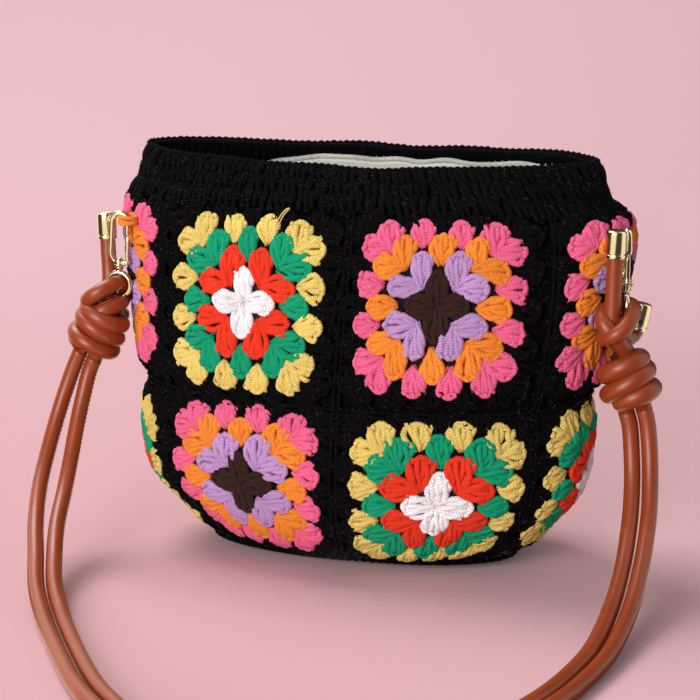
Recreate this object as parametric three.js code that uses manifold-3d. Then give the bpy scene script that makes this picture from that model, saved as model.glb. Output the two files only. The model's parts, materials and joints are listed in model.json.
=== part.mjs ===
// A crocheted shoulder bag of twelve granny squares joined in black, with a white lining and
// a strap of two knotted leather cords clipped on by two swivel snap clasps.
// Millimetres, +Z up, origin on the floor under the middle of the bag, -Y towards the front.
import * as THREE from 'three';
import { mergeVertices } from 'three/addons/utils/BufferGeometryUtils.js';
import Module from 'manifold-3d';

const wasm = await Module();
wasm.setup();

// Levels of the bag's wall. row counts squares upward from the edge of the base, the half
// sizes reach to the tops of the stitches, and lean is how far the soft wall slumps to +X.
const BASE_EDGE = { row: 0, height: 2, halfWidth: 80, halfDepth: 34, lean: 0 };
const HEEL = { row: 0.18, height: 11, halfWidth: 100, halfDepth: 47, lean: 0 };
const BELLY = { row: 0.5, height: 38, halfWidth: 117, halfDepth: 60, lean: 0 };
const WAIST = { row: 1, height: 87, halfWidth: 121, halfDepth: 61, lean: 1.5 };
const CHEST = { row: 1.5, height: 137, halfWidth: 130, halfDepth: 55, lean: 4 };
const SHOULDER = { row: 1.93, height: 179, halfWidth: 133, halfDepth: 43, lean: 4.5 };
const RIM = { row: 2.32, height: 209, halfWidth: 117, halfDepth: 29, lean: 1 };
const LEVELS = [BASE_EDGE, HEEL, BELLY, WAIST, CHEST, SHOULDER, RIM];
const WALL_SQUARENESS = 2.3;
const SQUARES_AROUND = 6;
const SQUARE_ROWS = 2;

// Crochet. Depths are measured inward from the tops of the stitches.
const FIT_GAP = 0.3;
const SQUARE_CLEARANCE = 0.55;
const JOIN_WIDTH_UPRIGHT = 16;
const JOIN_WIDTH_LEVEL = 9;
const JOIN_DEPTH = 2;
const WALL_DEPTH = 5.5;
const CLUSTER_VALLEY = 2.4;
const SQUARE_EDGE_DEPTH = 2.8;
const CLUSTERS_ON_EDGE = 4;
const SQUARE_BACK_RINGS = [0.66, 0.33];
// Where the top of a cluster stands between the corners of its facet: two outer, two inner.
const PEAK_WEIGHTS = [0.32, 0.32, 0.18, 0.18];
const CENTRE_PEAK_WEIGHTS = [0.4, 0.4, 0.2];
const ROUND_SPREAD = 1.04;
const BAND_ROWS = 3;
const BAND_RIBS = 48;
const RIB_RELIEF = 1.2;
const BAND_ROW_RELIEF = 1.6;
const BASE_FLAT_SHARE = 0.84;
const BASE_THICKNESS = 4;
const BASE_ROUNDS = 3;

// Lining
const LINING_STANDOFF = 2.5;
const LINING_THICKNESS = 1.2;
const LINING_TOP_ROW = 2.17;
const LINING_HEM_GAP = 0.3;
const LINING_SEGMENTS = 24;
const LINING_FLOOR_SHARE = 0.68;

// Rounds of a granny square, as shares of its half side, with the roundness of each outline.
const ROUNDS = [
  { reach: 0.29, roundness: 2.2, clusters: 1 },
  { reach: 0.53, roundness: 2.6, clusters: 2 },
  { reach: 0.76, roundness: 3.4, clusters: 3 },
  { reach: 1, roundness: 5.5, clusters: 4 },
];
const WHITE = '#efedf0';
const RED = '#e63c23';
const GREEN = '#149b6e';
const YELLOW = '#dcc36a';
const BROWN = '#46302a';
const LILAC = '#b992cc';
const ORANGE = '#ee8a33';
const PINK = '#e96a90';
const BLACK = '#0e0d0e';
const LINING_WHITE = '#e9e6dd';
const TAN = '#8f4320';
const GOLD = '#d9b56c';
const STEEL = '#b9bcc0';
const LIGHT_SQUARE = [WHITE, RED, GREEN, YELLOW];
const DARK_SQUARE = [BROWN, LILAC, ORANGE, PINK];
// Columns run from the front middle round the +X side, the back and the -X side.
const COLUMN_NAMES = ['front_right', 'right', 'back_right', 'back_left', 'left', 'front_left'];
const UPPER_YARNS = [DARK_SQUARE, DARK_SQUARE, LIGHT_SQUARE, DARK_SQUARE, DARK_SQUARE, LIGHT_SQUARE];
const LOWER_YARNS = [LIGHT_SQUARE, LIGHT_SQUARE, DARK_SQUARE, LIGHT_SQUARE, LIGHT_SQUARE, DARK_SQUARE];

// Snap clasp, in a frame with its swivel axis on Z and the gate on +X.
const COLLAR_RADIUS = 2.8;
const COLLAR_HEIGHT = 3.6;
const POST_RADIUS = 1.2;
const RIVET_RADIUS = 1.8;
const RIVET_HEIGHT = 0.6;
const HOOK_WIRE = 1.4;
const HOOK_HALF_SPAN = 4.3;
const HOOK_HEIGHT = 27.5;
const NOSE_END_HEIGHT = 15.8;
const GATE_PIVOT_HEIGHT = 2.4;
const GATE_THICKNESS = 2;
const GATE_WIDTH = 2.4;
const CHEEK_THICKNESS = 1.1;
const PIN_RADIUS = 0.6;
const SPRING_LENGTH = 5.4;
const SPRING_THICKNESS = 0.4;
const SPRING_CLEARANCE = 0.25;
const SPRING_RISE = 2.6;
const RING_RADIUS = 6.2;
const RING_WIRE = 1.4;
const RING_NECK = 3;
const NECK_RADIUS = 1.7;
const NECK_SHOULDER_RADIUS = 2.3;
const NECK_SHOULDER_HEIGHT = 1;
const KNUCKLE_RADIUS = 1.5;
const GATE_PIVOT_X = COLLAR_RADIUS + FIT_GAP + KNUCKLE_RADIUS;
const CHEEK_START_X = 1.3;
const CHEEK_START_HEIGHT = 0.6;

// Strap
const CORD_RADIUS = 4;
const CORD_SIDES = 8;
const CORD_STEPS = 46;
const CAP_LENGTH = 13.5;
const CAP_WALL = 0.6;
const CAP_RADIUS = CORD_RADIUS + FIT_GAP + CAP_WALL;
const CAP_CHAMFER = 0.5;
const WRAP_VALLEY = 2.2;
const STEM_RADIUS = 6.5;
const YARN_RADIUS = 1;
const LOOP_RADIUS = 3.9;
const LOOP_ABOVE_NOSE = 2.6;
const LOOP_HEIGHT = NOSE_END_HEIGHT + LOOP_ABOVE_NOSE;

// The two ends of the strap. Each clasp hangs at an offset from a place on the wall, given as
// column and row, and the knots and tails are placed from the clasp. The tails run from the
// hitch to the closed ends of their caps.
const LEFT_END = {
  side: 'left',
  clasp: { wall: [4.75, 1.6], offset: [-5.8, -2.2, -0.52], turn: 0, tilt: 3 },
  hitch: { at: [-5.2, -2.5, -12.5], lean: [0.5, 0, 0.86], radius: 10, height: 14, lobes: 1 },
  knot: { at: [-10.6, -4.5, -32.9], lean: [0.4, 0.08, 0.91], radius: 14.8, height: 27, lobes: 3 },
  tails: [
    [[-6.2, -0.5, -14.5], [-7.2, 4.3, -4.5], [-8, 5.2, 6.5], [-8.8, 6.1, 26.5]],
    [[-7, -2, -19.5], [-3.1, 10.3, -29]],
  ],
  loopOn: HOOK_HALF_SPAN,
};
const RIGHT_END = {
  side: 'right',
  clasp: { wall: [1.3, 1.65], offset: [5.76, -1.8, -2.07], turn: -74, tilt: 0 },
  hitch: { at: [-2.3, -9.5, -17.5], lean: [-0.25, 0, 0.97], radius: 10.4, height: 17, lobes: 2 },
  knot: { at: [3.1, -7, -44.4], lean: [-0.28, 0.05, 0.95], radius: 15, height: 29, lobes: 3 },
  tails: [
    [[-4.8, -9.5, -16], [-4.5, -9.5, 0], [-3.9, -9.5, 29]],
    [[-1.8, -5, -21], [1.9, 3.5, -27], [3.9, 6.7, -25], [7.1, 9, -9.5]],
  ],
  loopOn: -HOOK_HALF_SPAN,
};

// Routes of the two cords from the left knot over the floor in front to the right knot.
const OUTER_ROUTE = [
  [-144, -31, 102.4], [-146.8, -31.5, 96.1], [-151.6, -34, 82], [-155, -40.5, 66], [-156, -51, 51],
  [-154, -66, 38], [-148, -85, 26], [-138.5, -107, 17], [-126.8, -133.2, 10], [-112.2, -158.4, 5.5],
  [-95.5, -184.6, 4], [-66, -228.6, 4], [-49, -248, 4], [-20.3, -273.7, 4], [19.6, -288.3, 4],
  [63.6, -283, 4], [101, -257.1, 4], [124.8, -221.9, 4], [138, -190.5, 4], [145.2, -162, 4],
  [150.2, -137.6, 5.5], [152.8, -115.2, 9], [154.4, -93, 15], [155, -75, 23], [155, -59, 33],
  [154.5, -45.5, 45], [153.2, -36, 60], [151.6, -31, 74], [149.8, -29, 85.6], [147.8, -28.7, 92.3],
];
const INNER_ROUTE = [
  [-136.1, -31.3, 99], [-138.9, -31.9, 92.6], [-141.4, -36, 79], [-142.4, -43, 65], [-142, -53, 50],
  [-140, -67, 37], [-136, -86, 26], [-129.5, -105, 16.5], [-119.2, -128.8, 10],
  [-104.8, -153.6, 5.5], [-88.5, -179.4, 4], [-59, -223.4, 4], [-43, -242, 4], [-15.7, -266.3, 4],
  [20.4, -279.7, 4], [60.4, -275, 4], [95, -250.9, 4], [117.2, -218.1, 4], [130, -187.5, 4],
  [136.8, -160, 4], [141.6, -136.4, 5.5], [144.1, -114.8, 9], [145.5, -93, 15], [146.2, -74, 23],
  [146.2, -58, 33], [145.7, -45.5, 45], [144.5, -36, 59], [143, -31.2, 72], [141.5, -29.2, 83.2],
  [139.5, -28.8, 89.9],
];

// Wall surface

const wallCache = new Map();

function levelValue(row, key) {
  const last = LEVELS.length - 1;
  const at = THREE.MathUtils.clamp(row, LEVELS[0].row, LEVELS[last].row);
  const index = Math.max(0, Math.min(last - 1, LEVELS.findIndex((level) => level.row > at) - 1));
  const start = row >= LEVELS[last].row ? last - 1 : index;
  const slope = (i) => {
    const before = LEVELS[Math.max(0, i - 1)];
    const after = LEVELS[Math.min(last, i + 1)];
    return (after[key] - before[key]) / (after.row - before.row);
  };
  const a = LEVELS[start];
  const b = LEVELS[start + 1];
  const span = b.row - a.row;
  const t = (at - a.row) / span;
  const t2 = t * t;
  const t3 = t2 * t;
  return (2 * t3 - 3 * t2 + 1) * a[key] + (t3 - 2 * t2 + t) * span * slope(start)
    + (3 * t2 - 2 * t3) * b[key] + (t3 - t2) * span * slope(start + 1);
}

function wallSection(row) {
  const key = row.toFixed(5);
  if (wallCache.has(key)) return wallCache.get(key);
  const samples = 360;
  const power = 2 / WALL_SQUARENESS;
  const halfWidth = levelValue(row, 'halfWidth');
  const halfDepth = levelValue(row, 'halfDepth');
  const lean = levelValue(row, 'lean');
  const height = levelValue(row, 'height');
  const points = [];
  const lengths = [0];
  for (let i = 0; i <= samples; i += 1) {
    const angle = -Math.PI / 2 + (i / samples) * 2 * Math.PI;
    const c = Math.cos(angle);
    const s = Math.sin(angle);
    const x = lean + halfWidth * Math.sign(c) * Math.abs(c) ** power;
    const y = halfDepth * Math.sign(s) * Math.abs(s) ** power;
    points.push(new THREE.Vector3(x, y, height));
    if (i > 0) lengths.push(lengths[i - 1] + points[i].distanceTo(points[i - 1]));
  }
  const section = { points, lengths, girth: lengths[samples] };
  wallCache.set(key, section);
  return section;
}

function wallPoint(column, row) {
  const { points, lengths, girth } = wallSection(row);
  const turned = ((column % SQUARES_AROUND) + SQUARES_AROUND) % SQUARES_AROUND;
  const target = (turned / SQUARES_AROUND) * girth;
  let low = 0;
  let high = lengths.length - 1;
  while (high - low > 1) {
    const middle = (low + high) >> 1;
    if (lengths[middle] <= target) low = middle;
    else high = middle;
  }
  const share = (target - lengths[low]) / (lengths[high] - lengths[low]);
  return points[low].clone().lerp(points[high], share);
}

// A point of the wall, depth millimetres in from the tops of the stitches.
function wallAt(column, row, depth) {
  const step = 0.02;
  const rowLow = Math.max(LEVELS[0].row, row - step);
  const rowHigh = Math.min(RIM.row, row + step);
  const along = wallPoint(column + step, row).sub(wallPoint(column - step, row));
  const up = wallPoint(column, rowHigh).sub(wallPoint(column, rowLow));
  const outward = along.cross(up).normalize();
  return wallPoint(column, row).addScaledVector(outward, -depth);
}

function rowLength(row) {
  let length = 0;
  const steps = 20;
  for (let i = 0; i < steps; i += 1) {
    length += wallPoint(0, row + i / steps).distanceTo(wallPoint(0, row + (i + 1) / steps));
  }
  return length;
}

// An end of the strap with its clasp, knots and tails at their places in the part's own frame.
function placedEnd(end) {
  const clasp = wallAt(...end.clasp.wall, 0).add(new THREE.Vector3(...end.clasp.offset));
  const shift = (offset) => offset.map((value, i) => value + clasp.getComponent(i));
  return {
    ...end,
    clasp: { ...end.clasp, at: clasp.toArray() },
    hitch: { ...end.hitch, at: shift(end.hitch.at) },
    knot: { ...end.knot, at: shift(end.knot.at) },
    tails: end.tails.map((points) => points.map(shift)),
  };
}

// Closed faceted solids

class Facets {
  constructor() {
    this.positions = [];
    this.colours = [];
  }

  triangle(a, b, c, colour) {
    [a, b, c].forEach((p) => {
      this.positions.push(p.x, p.y, p.z);
      this.colours.push(colour.r, colour.g, colour.b);
    });
  }

  // Joins two closed rings that run anticlockwise seen from outside, by their share of the turn.
  strip(inner, outer, colour) {
    let i = 0;
    let j = 0;
    const n = inner.length;
    const m = outer.length;
    while (i < n || j < m) {
      const a = inner[i % n];
      const b = outer[j % m];
      if (j < m && (i >= n || (j + 1) / m <= (i + 1) / n + 1e-9)) {
        this.triangle(a, b, outer[(j + 1) % m], colour);
        j += 1;
      } else {
        this.triangle(a, b, inner[(i + 1) % n], colour);
        i += 1;
      }
    }
  }

  fan(ring, centre, colour) {
    ring.forEach((p, i) => this.triangle(centre, p, ring[(i + 1) % ring.length], colour));
  }

  geometry() {
    const geometry = new THREE.BufferGeometry();
    geometry.setAttribute('position', new THREE.Float32BufferAttribute(this.positions, 3));
    geometry.setAttribute('color', new THREE.Float32BufferAttribute(this.colours, 3));
    geometry.computeVertexNormals();
    return geometry;
  }
}

function toSolid(geometry) {
  const bare = geometry.clone();
  ['normal', 'uv', 'color'].forEach((name) => bare.deleteAttribute(name));
  const merged = mergeVertices(bare, 1e-4);
  const vertProperties = new Float32Array(merged.attributes.position.array);
  const triVerts = new Uint32Array(merged.index.array);
  const solid = new wasm.Manifold(new wasm.Mesh({ numProp: 3, vertProperties, triVerts }));
  if (solid.volume() > 0) return solid;
  for (let i = 0; i < triVerts.length; i += 3) {
    [triVerts[i + 1], triVerts[i + 2]] = [triVerts[i + 2], triVerts[i + 1]];
  }
  return new wasm.Manifold(new wasm.Mesh({ numProp: 3, vertProperties, triVerts }));
}

function fromSolid(solid) {
  const { vertProperties, triVerts } = solid.getMesh();
  const geometry = new THREE.BufferGeometry();
  geometry.setAttribute('position', new THREE.Float32BufferAttribute(vertProperties, 3));
  geometry.setIndex(Array.from(triVerts));
  geometry.computeVertexNormals();
  return geometry;
}

function join(geometries) {
  return geometries.map(toSolid).reduce((whole, piece) => whole.add(piece));
}

function tube(points, radius, steps, sides = CORD_SIDES) {
  const path = new THREE.CatmullRomCurve3(points.map((p) => new THREE.Vector3(...p)), false, 'centripetal');
  const circle = new THREE.Shape();
  for (let i = 0; i < sides; i += 1) {
    const angle = ((i + 0.5) / sides) * 2 * Math.PI;
    const corner = [radius * Math.cos(angle), radius * Math.sin(angle)];
    if (i === 0) circle.moveTo(...corner);
    else circle.lineTo(...corner);
  }
  circle.closePath();
  return new THREE.ExtrudeGeometry(circle, { steps, extrudePath: path, bevelEnabled: false });
}

function lathe(profile, segments) {
  const points = profile.map(([r, z]) => new THREE.Vector2(r, z));
  return new THREE.LatheGeometry(points, segments).rotateX(Math.PI / 2);
}

function box(low, high) {
  const size = high.map((value, i) => value - low[i]);
  const middle = high.map((value, i) => (value + low[i]) / 2);
  return new THREE.BoxGeometry(...size).translate(...middle);
}

// Turns a shape whose axis is Z so that its axis points along lean, and moves it to at.
function place(geometry, at, lean) {
  const axis = new THREE.Vector3(...lean).normalize();
  const turn = new THREE.Quaternion().setFromUnitVectors(new THREE.Vector3(0, 0, 1), axis);
  return geometry.applyQuaternion(turn).translate(...at);
}

// Granny squares and the black crochet that joins them

function squareOutline(round, t) {
  const { reach, roundness } = ROUNDS[round];
  const length = (Math.abs(t) ** roundness + 1) ** (1 / roundness);
  return [reach / length, (reach * t) / length];
}

// Points of one outline of a square, clusters to a side, anticlockwise from its lower corner.
function outline(round, clusters, scale = 1) {
  const points = [];
  for (let side = 0; side < 4; side += 1) {
    for (let i = 0; i < clusters; i += 1) {
      const [x, y] = squareOutline(round, -1 + (2 * i) / clusters);
      const c = [1, 0, -1, 0][side];
      const s = [0, 1, 0, -1][side];
      points.push([(x * c - y * s) * scale, (x * s + y * c) * scale]);
    }
  }
  return points;
}

function squareFrame(column, row, clearance) {
  const halfRow = 0.5 - (JOIN_WIDTH_LEVEL / 2 + clearance) / rowLength(row);
  return ([a, b], depth) => {
    const level = row + 0.5 + b * halfRow;
    const pitch = wallSection(level).girth / SQUARES_AROUND;
    const halfColumn = 0.5 - (JOIN_WIDTH_UPRIGHT / 2 + clearance) / pitch;
    return wallAt(column + 0.5 + a * halfColumn, level, depth);
  };
}

function grannySquare(column, row, yarns) {
  const at = squareFrame(column, row, SQUARE_CLEARANCE);
  const solid = new Facets();
  const colours = yarns.map((yarn) => new THREE.Color(yarn));
  const centre = at([0, 0], CLUSTER_VALLEY);
  let innerRing = null;
  ROUNDS.forEach(({ clusters }, round) => {
    const colour = colours[round];
    const edgeDepth = round === ROUNDS.length - 1 ? SQUARE_EDGE_DEPTH : CLUSTER_VALLEY;
    const outer = outline(round, clusters);
    const inner = round === 0 ? [] : outline(round - 1, clusters, ROUND_SPREAD);
    const outerRing = outer.map((p) => at(p, edgeDepth));
    const baseRing = inner.map((p) => at(p, CLUSTER_VALLEY));
    if (round > 0) solid.strip(innerRing, baseRing, colour);
    outer.forEach((p, i) => {
      const next = (i + 1) % outer.length;
      const corners = round === 0 ? [p, outer[next], [0, 0]] : [p, outer[next], inner[next], inner[i]];
      const places = round === 0 ? [outerRing[i], outerRing[next], centre]
        : [outerRing[i], outerRing[next], baseRing[next], baseRing[i]];
      const weights = round === 0 ? CENTRE_PEAK_WEIGHTS : PEAK_WEIGHTS;
      const top = [0, 1].map((k) => corners.reduce((sum, c, j) => sum + c[k] * weights[j], 0));
      const peak = at(top, 0);
      places.forEach((q, j) => solid.triangle(q, places[(j + 1) % places.length], peak, colour));
    });
    innerRing = outerRing;
  });
  const last = ROUNDS.length - 1;
  const edge = outline(last, CLUSTERS_ON_EDGE).map((p) => at(p, WALL_DEPTH));
  const edgeColour = colours[last];
  solid.strip(innerRing, edge, edgeColour);
  const back = SQUARE_BACK_RINGS.reduce((wider, share) => {
    const ring = outline(last, 2, share).map((p) => at(p, WALL_DEPTH));
    solid.strip(wider, ring, edgeColour);
    return ring;
  }, edge);
  solid.fan(back.reverse(), at([0, 0], WALL_DEPTH), edgeColour);
  return solid.geometry();
}

function joinedCrochet() {
  const solid = new Facets();
  const black = new THREE.Color(BLACK);
  const last = ROUNDS.length - 1;
  const steps = CLUSTERS_ON_EDGE;
  for (let row = 0; row < SQUARE_ROWS; row += 1) {
    for (let column = 0; column < SQUARES_AROUND; column += 1) {
      const window = outline(last, steps);
      const at = squareFrame(column, row, 0);
      const cell = [];
      const corner = [[1, 0], [1, 1], [0, 1], [0, 0]];
      const heading = [[0, 1], [-1, 0], [0, -1], [1, 0]];
      corner.forEach(([x, y], side) => {
        for (let i = 0; i < steps; i += 1) {
          const share = i / steps;
          cell.push([x + heading[side][0] * share, y + heading[side][1] * share]);
        }
      });
      [JOIN_DEPTH, WALL_DEPTH].forEach((depth, face) => {
        const outside = cell.map(([x, y]) => wallAt(column + x, row + y, depth));
        const inside = window.map((p) => at(p, depth));
        if (face === 0) solid.strip(inside, outside, black);
        else solid.strip(outside, inside, black);
      });
      solid.strip(window.map((p) => at(p, WALL_DEPTH)), window.map((p) => at(p, JOIN_DEPTH)), black);
    }
  }
  const ringAt = (row, depth) => {
    const count = SQUARES_AROUND * steps;
    return Array.from({ length: count }, (_, i) => wallAt((i / count) * SQUARES_AROUND, row, depth));
  };
  solid.strip(ringAt(0, JOIN_DEPTH), ringAt(0, WALL_DEPTH), black);
  solid.strip(ringAt(SQUARE_ROWS, WALL_DEPTH), ringAt(SQUARE_ROWS, JOIN_DEPTH), black);
  return solid.geometry();
}

// A ring of the wall as a closed loop of points, with a relief that alternates round it.
function wallRing(row, depth, count, relief = 0) {
  return Array.from({ length: count }, (_, i) => {
    const column = (i / count) * SQUARES_AROUND;
    return wallAt(column, row, depth + (i % 2) * relief);
  });
}

// Rings in order up the outside and down the inside. Without end points the last meets the first.
function ringSolid(rings, colour, lowEnd = null, highEnd = null) {
  const solid = new Facets();
  const paint = new THREE.Color(colour);
  rings.forEach((ring, i) => {
    if (i + 1 < rings.length) solid.strip(rings[i + 1], ring, paint);
  });
  const last = rings[rings.length - 1];
  if (lowEnd) solid.fan(rings[0].slice().reverse(), lowEnd, paint);
  if (highEnd) solid.fan(last, highEnd, paint);
  if (!lowEnd) solid.strip(rings[0], last, paint);
  return solid.geometry();
}

function rimBand() {
  const bottom = SQUARE_ROWS + FIT_GAP / rowLength(SQUARE_ROWS - 1);
  const rows = RIM.row - bottom;
  const outerRings = [];
  for (let i = 0; i < BAND_ROWS; i += 1) {
    const low = bottom + (i / BAND_ROWS) * rows;
    const middle = bottom + ((i + 0.5) / BAND_ROWS) * rows;
    outerRings.push(wallRing(low, BAND_ROW_RELIEF, i === 0 ? BAND_RIBS / 2 : BAND_RIBS));
    outerRings.push(wallRing(middle, 0, BAND_RIBS, RIB_RELIEF));
  }
  outerRings.push(wallRing(RIM.row, BAND_ROW_RELIEF, BAND_RIBS));
  const inner = [RIM.row, (RIM.row + bottom) / 2, bottom];
  const innerRings = inner.map((row) => wallRing(row, WALL_DEPTH, BAND_RIBS / 2));
  return ringSolid([...outerRings, ...innerRings], BLACK);
}

function baseOval(share, height) {
  const count = SQUARES_AROUND * CLUSTERS_ON_EDGE;
  return Array.from({ length: count }, (_, i) => {
    const p = wallPoint((i / count) * SQUARES_AROUND, 0);
    return new THREE.Vector3(p.x * share, p.y * share, height);
  });
}

function inset(ring, distance) {
  return ring.map((p) => {
    const reach = Math.hypot(p.x, p.y);
    const share = (reach - distance) / reach;
    return new THREE.Vector3(p.x * share, p.y * share, p.z);
  });
}

function crochetBase() {
  const count = SQUARES_AROUND * CLUSTERS_ON_EDGE;
  const flats = Array.from({ length: BASE_ROUNDS }, (_, i) => (
    baseOval((BASE_FLAT_SHARE * (i + 1)) / BASE_ROUNDS, 0)
  ));
  const tops = flats.map((ring) => ring.map((p) => p.clone().setZ(BASE_THICKNESS))).reverse();
  const edges = [JOIN_DEPTH, WALL_DEPTH].map((depth) => inset(wallRing(0, depth, count), 2 * FIT_GAP));
  const under = new THREE.Vector3(0, 0, 0);
  const over = new THREE.Vector3(0, 0, BASE_THICKNESS);
  return ringSolid([...flats, ...edges, ...tops], BLACK, under, over);
}

function lining() {
  const outerDepth = WALL_DEPTH + LINING_STANDOFF;
  const innerDepth = outerDepth + LINING_THICKNESS;
  const rows = [HEEL.row, BELLY.row, WAIST.row, CHEST.row, SHOULDER.row, LINING_TOP_ROW];
  const outer = rows.map((row) => {
    const depth = row === LINING_TOP_ROW ? WALL_DEPTH + LINING_HEM_GAP : outerDepth;
    return wallRing(row, depth, LINING_SEGMENTS);
  });
  const inner = rows.map((row) => wallRing(row, innerDepth, LINING_SEGMENTS)).reverse();
  const flat = (ring, height) => ring.map((p) => (
    new THREE.Vector3(p.x * LINING_FLOOR_SHARE, p.y * LINING_FLOOR_SHARE, height)
  ));
  const floorHeight = BASE_THICKNESS + FIT_GAP;
  const low = flat(outer[0], floorHeight);
  const high = flat(inner[inner.length - 1], floorHeight + LINING_THICKNESS);
  const under = new THREE.Vector3(0, 0, floorHeight);
  const over = new THREE.Vector3(0, 0, floorHeight + LINING_THICKNESS);
  return ringSolid([low, ...outer, ...inner, high], LINING_WHITE, under, over);
}

// Snap clasp

function rod(radius, low, high, segments = 12) {
  return lathe([[0, low], [radius, low], [radius, high], [0, high]], segments);
}

function hookBody() {
  const span = HOOK_HALF_SPAN;
  const top = HOOK_HEIGHT - HOOK_WIRE;
  const archFoot = top - 1.65 * span;
  const spineFoot = COLLAR_HEIGHT + HOOK_WIRE;
  const archSide = top - 0.56 * span;
  const wire = tube([
    [-COLLAR_RADIUS, 0, COLLAR_HEIGHT / 3], [-span + 0.1 * span, 0, spineFoot],
    [-span, 0, spineFoot + 2 * HOOK_WIRE], [-span, 0, (spineFoot + archFoot) / 2], [-span, 0, archFoot],
    [-span * 0.72, 0, archSide], [0, 0, top], [span * 0.72, 0, archSide], [span, 0, archFoot],
    [span, 0, NOSE_END_HEIGHT],
  ], HOOK_WIRE, 18);
  const cheekInner = GATE_WIDTH / 2 + FIT_GAP;
  const cheekOuter = cheekInner + CHEEK_THICKNESS;
  const cheek = (low, high) => box(
    [CHEEK_START_X, low, CHEEK_START_HEIGHT],
    [GATE_PIVOT_X + KNUCKLE_RADIUS, high, COLLAR_HEIGHT],
  );
  const body = join([
    rod(COLLAR_RADIUS, 0, COLLAR_HEIGHT, 16), wire,
    cheek(cheekInner, cheekOuter), cheek(-cheekOuter, -cheekInner),
  ]);
  const bore = toSolid(rod(POST_RADIUS + FIT_GAP, -1, COLLAR_HEIGHT + 1));
  const pinHole = toSolid(pinRod(PIN_RADIUS + FIT_GAP, cheekOuter + 1));
  return body.subtract(bore).subtract(pinHole);
}

function pinRod(radius, reach) {
  return rod(radius, -reach, reach, 10).rotateX(Math.PI / 2)
    .translate(GATE_PIVOT_X, 0, GATE_PIVOT_HEIGHT);
}

function gate() {
  const inner = HOOK_HALF_SPAN - GATE_THICKNESS / 2;
  const outer = HOOK_HALF_SPAN + GATE_THICKNESS / 2;
  const half = GATE_WIDTH / 2;
  const bar = box([inner, -half, GATE_PIVOT_HEIGHT], [outer, half, NOSE_END_HEIGHT - FIT_GAP]);
  const knuckle = rod(KNUCKLE_RADIUS, -half, half).rotateX(Math.PI / 2)
    .translate(GATE_PIVOT_X, 0, GATE_PIVOT_HEIGHT);
  const spring = springBox(SPRING_CLEARANCE, true);
  return join([bar, knuckle]).subtract(toSolid(pinRod(PIN_RADIUS + FIT_GAP, half + 1)))
    .subtract(toSolid(spring));
}

// The leaf spring, or the groove for it, which is open towards the inside of the hook.
function springBox(clearance, isGroove) {
  const inner = HOOK_HALF_SPAN - GATE_THICKNESS / 2;
  const face = inner + FIT_GAP;
  const half = SPRING_THICKNESS / 2 + clearance;
  const low = GATE_PIVOT_HEIGHT + SPRING_RISE;
  return box(
    [isGroove ? inner - 1 : face, -half, low - clearance],
    [face + SPRING_THICKNESS + clearance, half, low + SPRING_LENGTH + clearance],
  );
}

function swivelEye(clearance = 0) {
  const neckLow = -(FIT_GAP + RING_NECK);
  const shoulder = NECK_SHOULDER_RADIUS + clearance;
  const shoulderLow = -FIT_GAP - NECK_SHOULDER_HEIGHT;
  const ring = new THREE.TorusGeometry(RING_RADIUS, RING_WIRE + clearance, 8, 18).rotateX(Math.PI / 2)
    .translate(0, 0, neckLow - RING_RADIUS);
  const headLow = COLLAR_HEIGHT + FIT_GAP;
  const neck = lathe([
    [0, neckLow], [NECK_RADIUS + clearance, neckLow], [shoulder, shoulderLow], [shoulder, -FIT_GAP],
    [POST_RADIUS, -FIT_GAP], [POST_RADIUS, headLow], [RIVET_RADIUS, headLow],
    [RIVET_RADIUS, headLow + RIVET_HEIGHT], [0, headLow + RIVET_HEIGHT],
  ], 12);
  return join([ring, neck]);
}

function endCap(radius, wall) {
  const inner = radius - wall;
  return lathe([
    [0, 0], [radius - CAP_CHAMFER, 0], [radius, -CAP_CHAMFER], [radius, -CAP_LENGTH], [inner, -CAP_LENGTH],
    [inner, -wall], [0, -wall],
  ].reverse(), 16);
}

// Strap knots

function wraps({ radius, height, lobes }) {
  const valley = radius - WRAP_VALLEY;
  const steps = 4;
  const profile = [[0, -height / 2]];
  for (let i = 0; i < lobes; i += 1) {
    const low = -height / 2 + (i / lobes) * height;
    for (let k = 0; k < steps; k += 1) {
      const angle = (k / steps) * Math.PI;
      const lift = (height / lobes) * (1 - Math.cos(angle)) * 0.5;
      profile.push([valley + (radius - valley) * Math.sin(angle), low + lift]);
    }
  }
  profile.push([valley, height / 2], [0, height / 2]);
  return lathe(profile, 14);
}

function claspMatrix({ at, turn, tilt }) {
  const rotation = new THREE.Euler(0, THREE.MathUtils.degToRad(tilt), THREE.MathUtils.degToRad(turn), 'YXZ');
  return new THREE.Matrix4().makeRotationFromEuler(rotation).setPosition(...at);
}

function tailHeading(points) {
  const [before, end] = points.slice(-2).map((p) => new THREE.Vector3(...p));
  return end.clone().sub(before).normalize();
}

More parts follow.
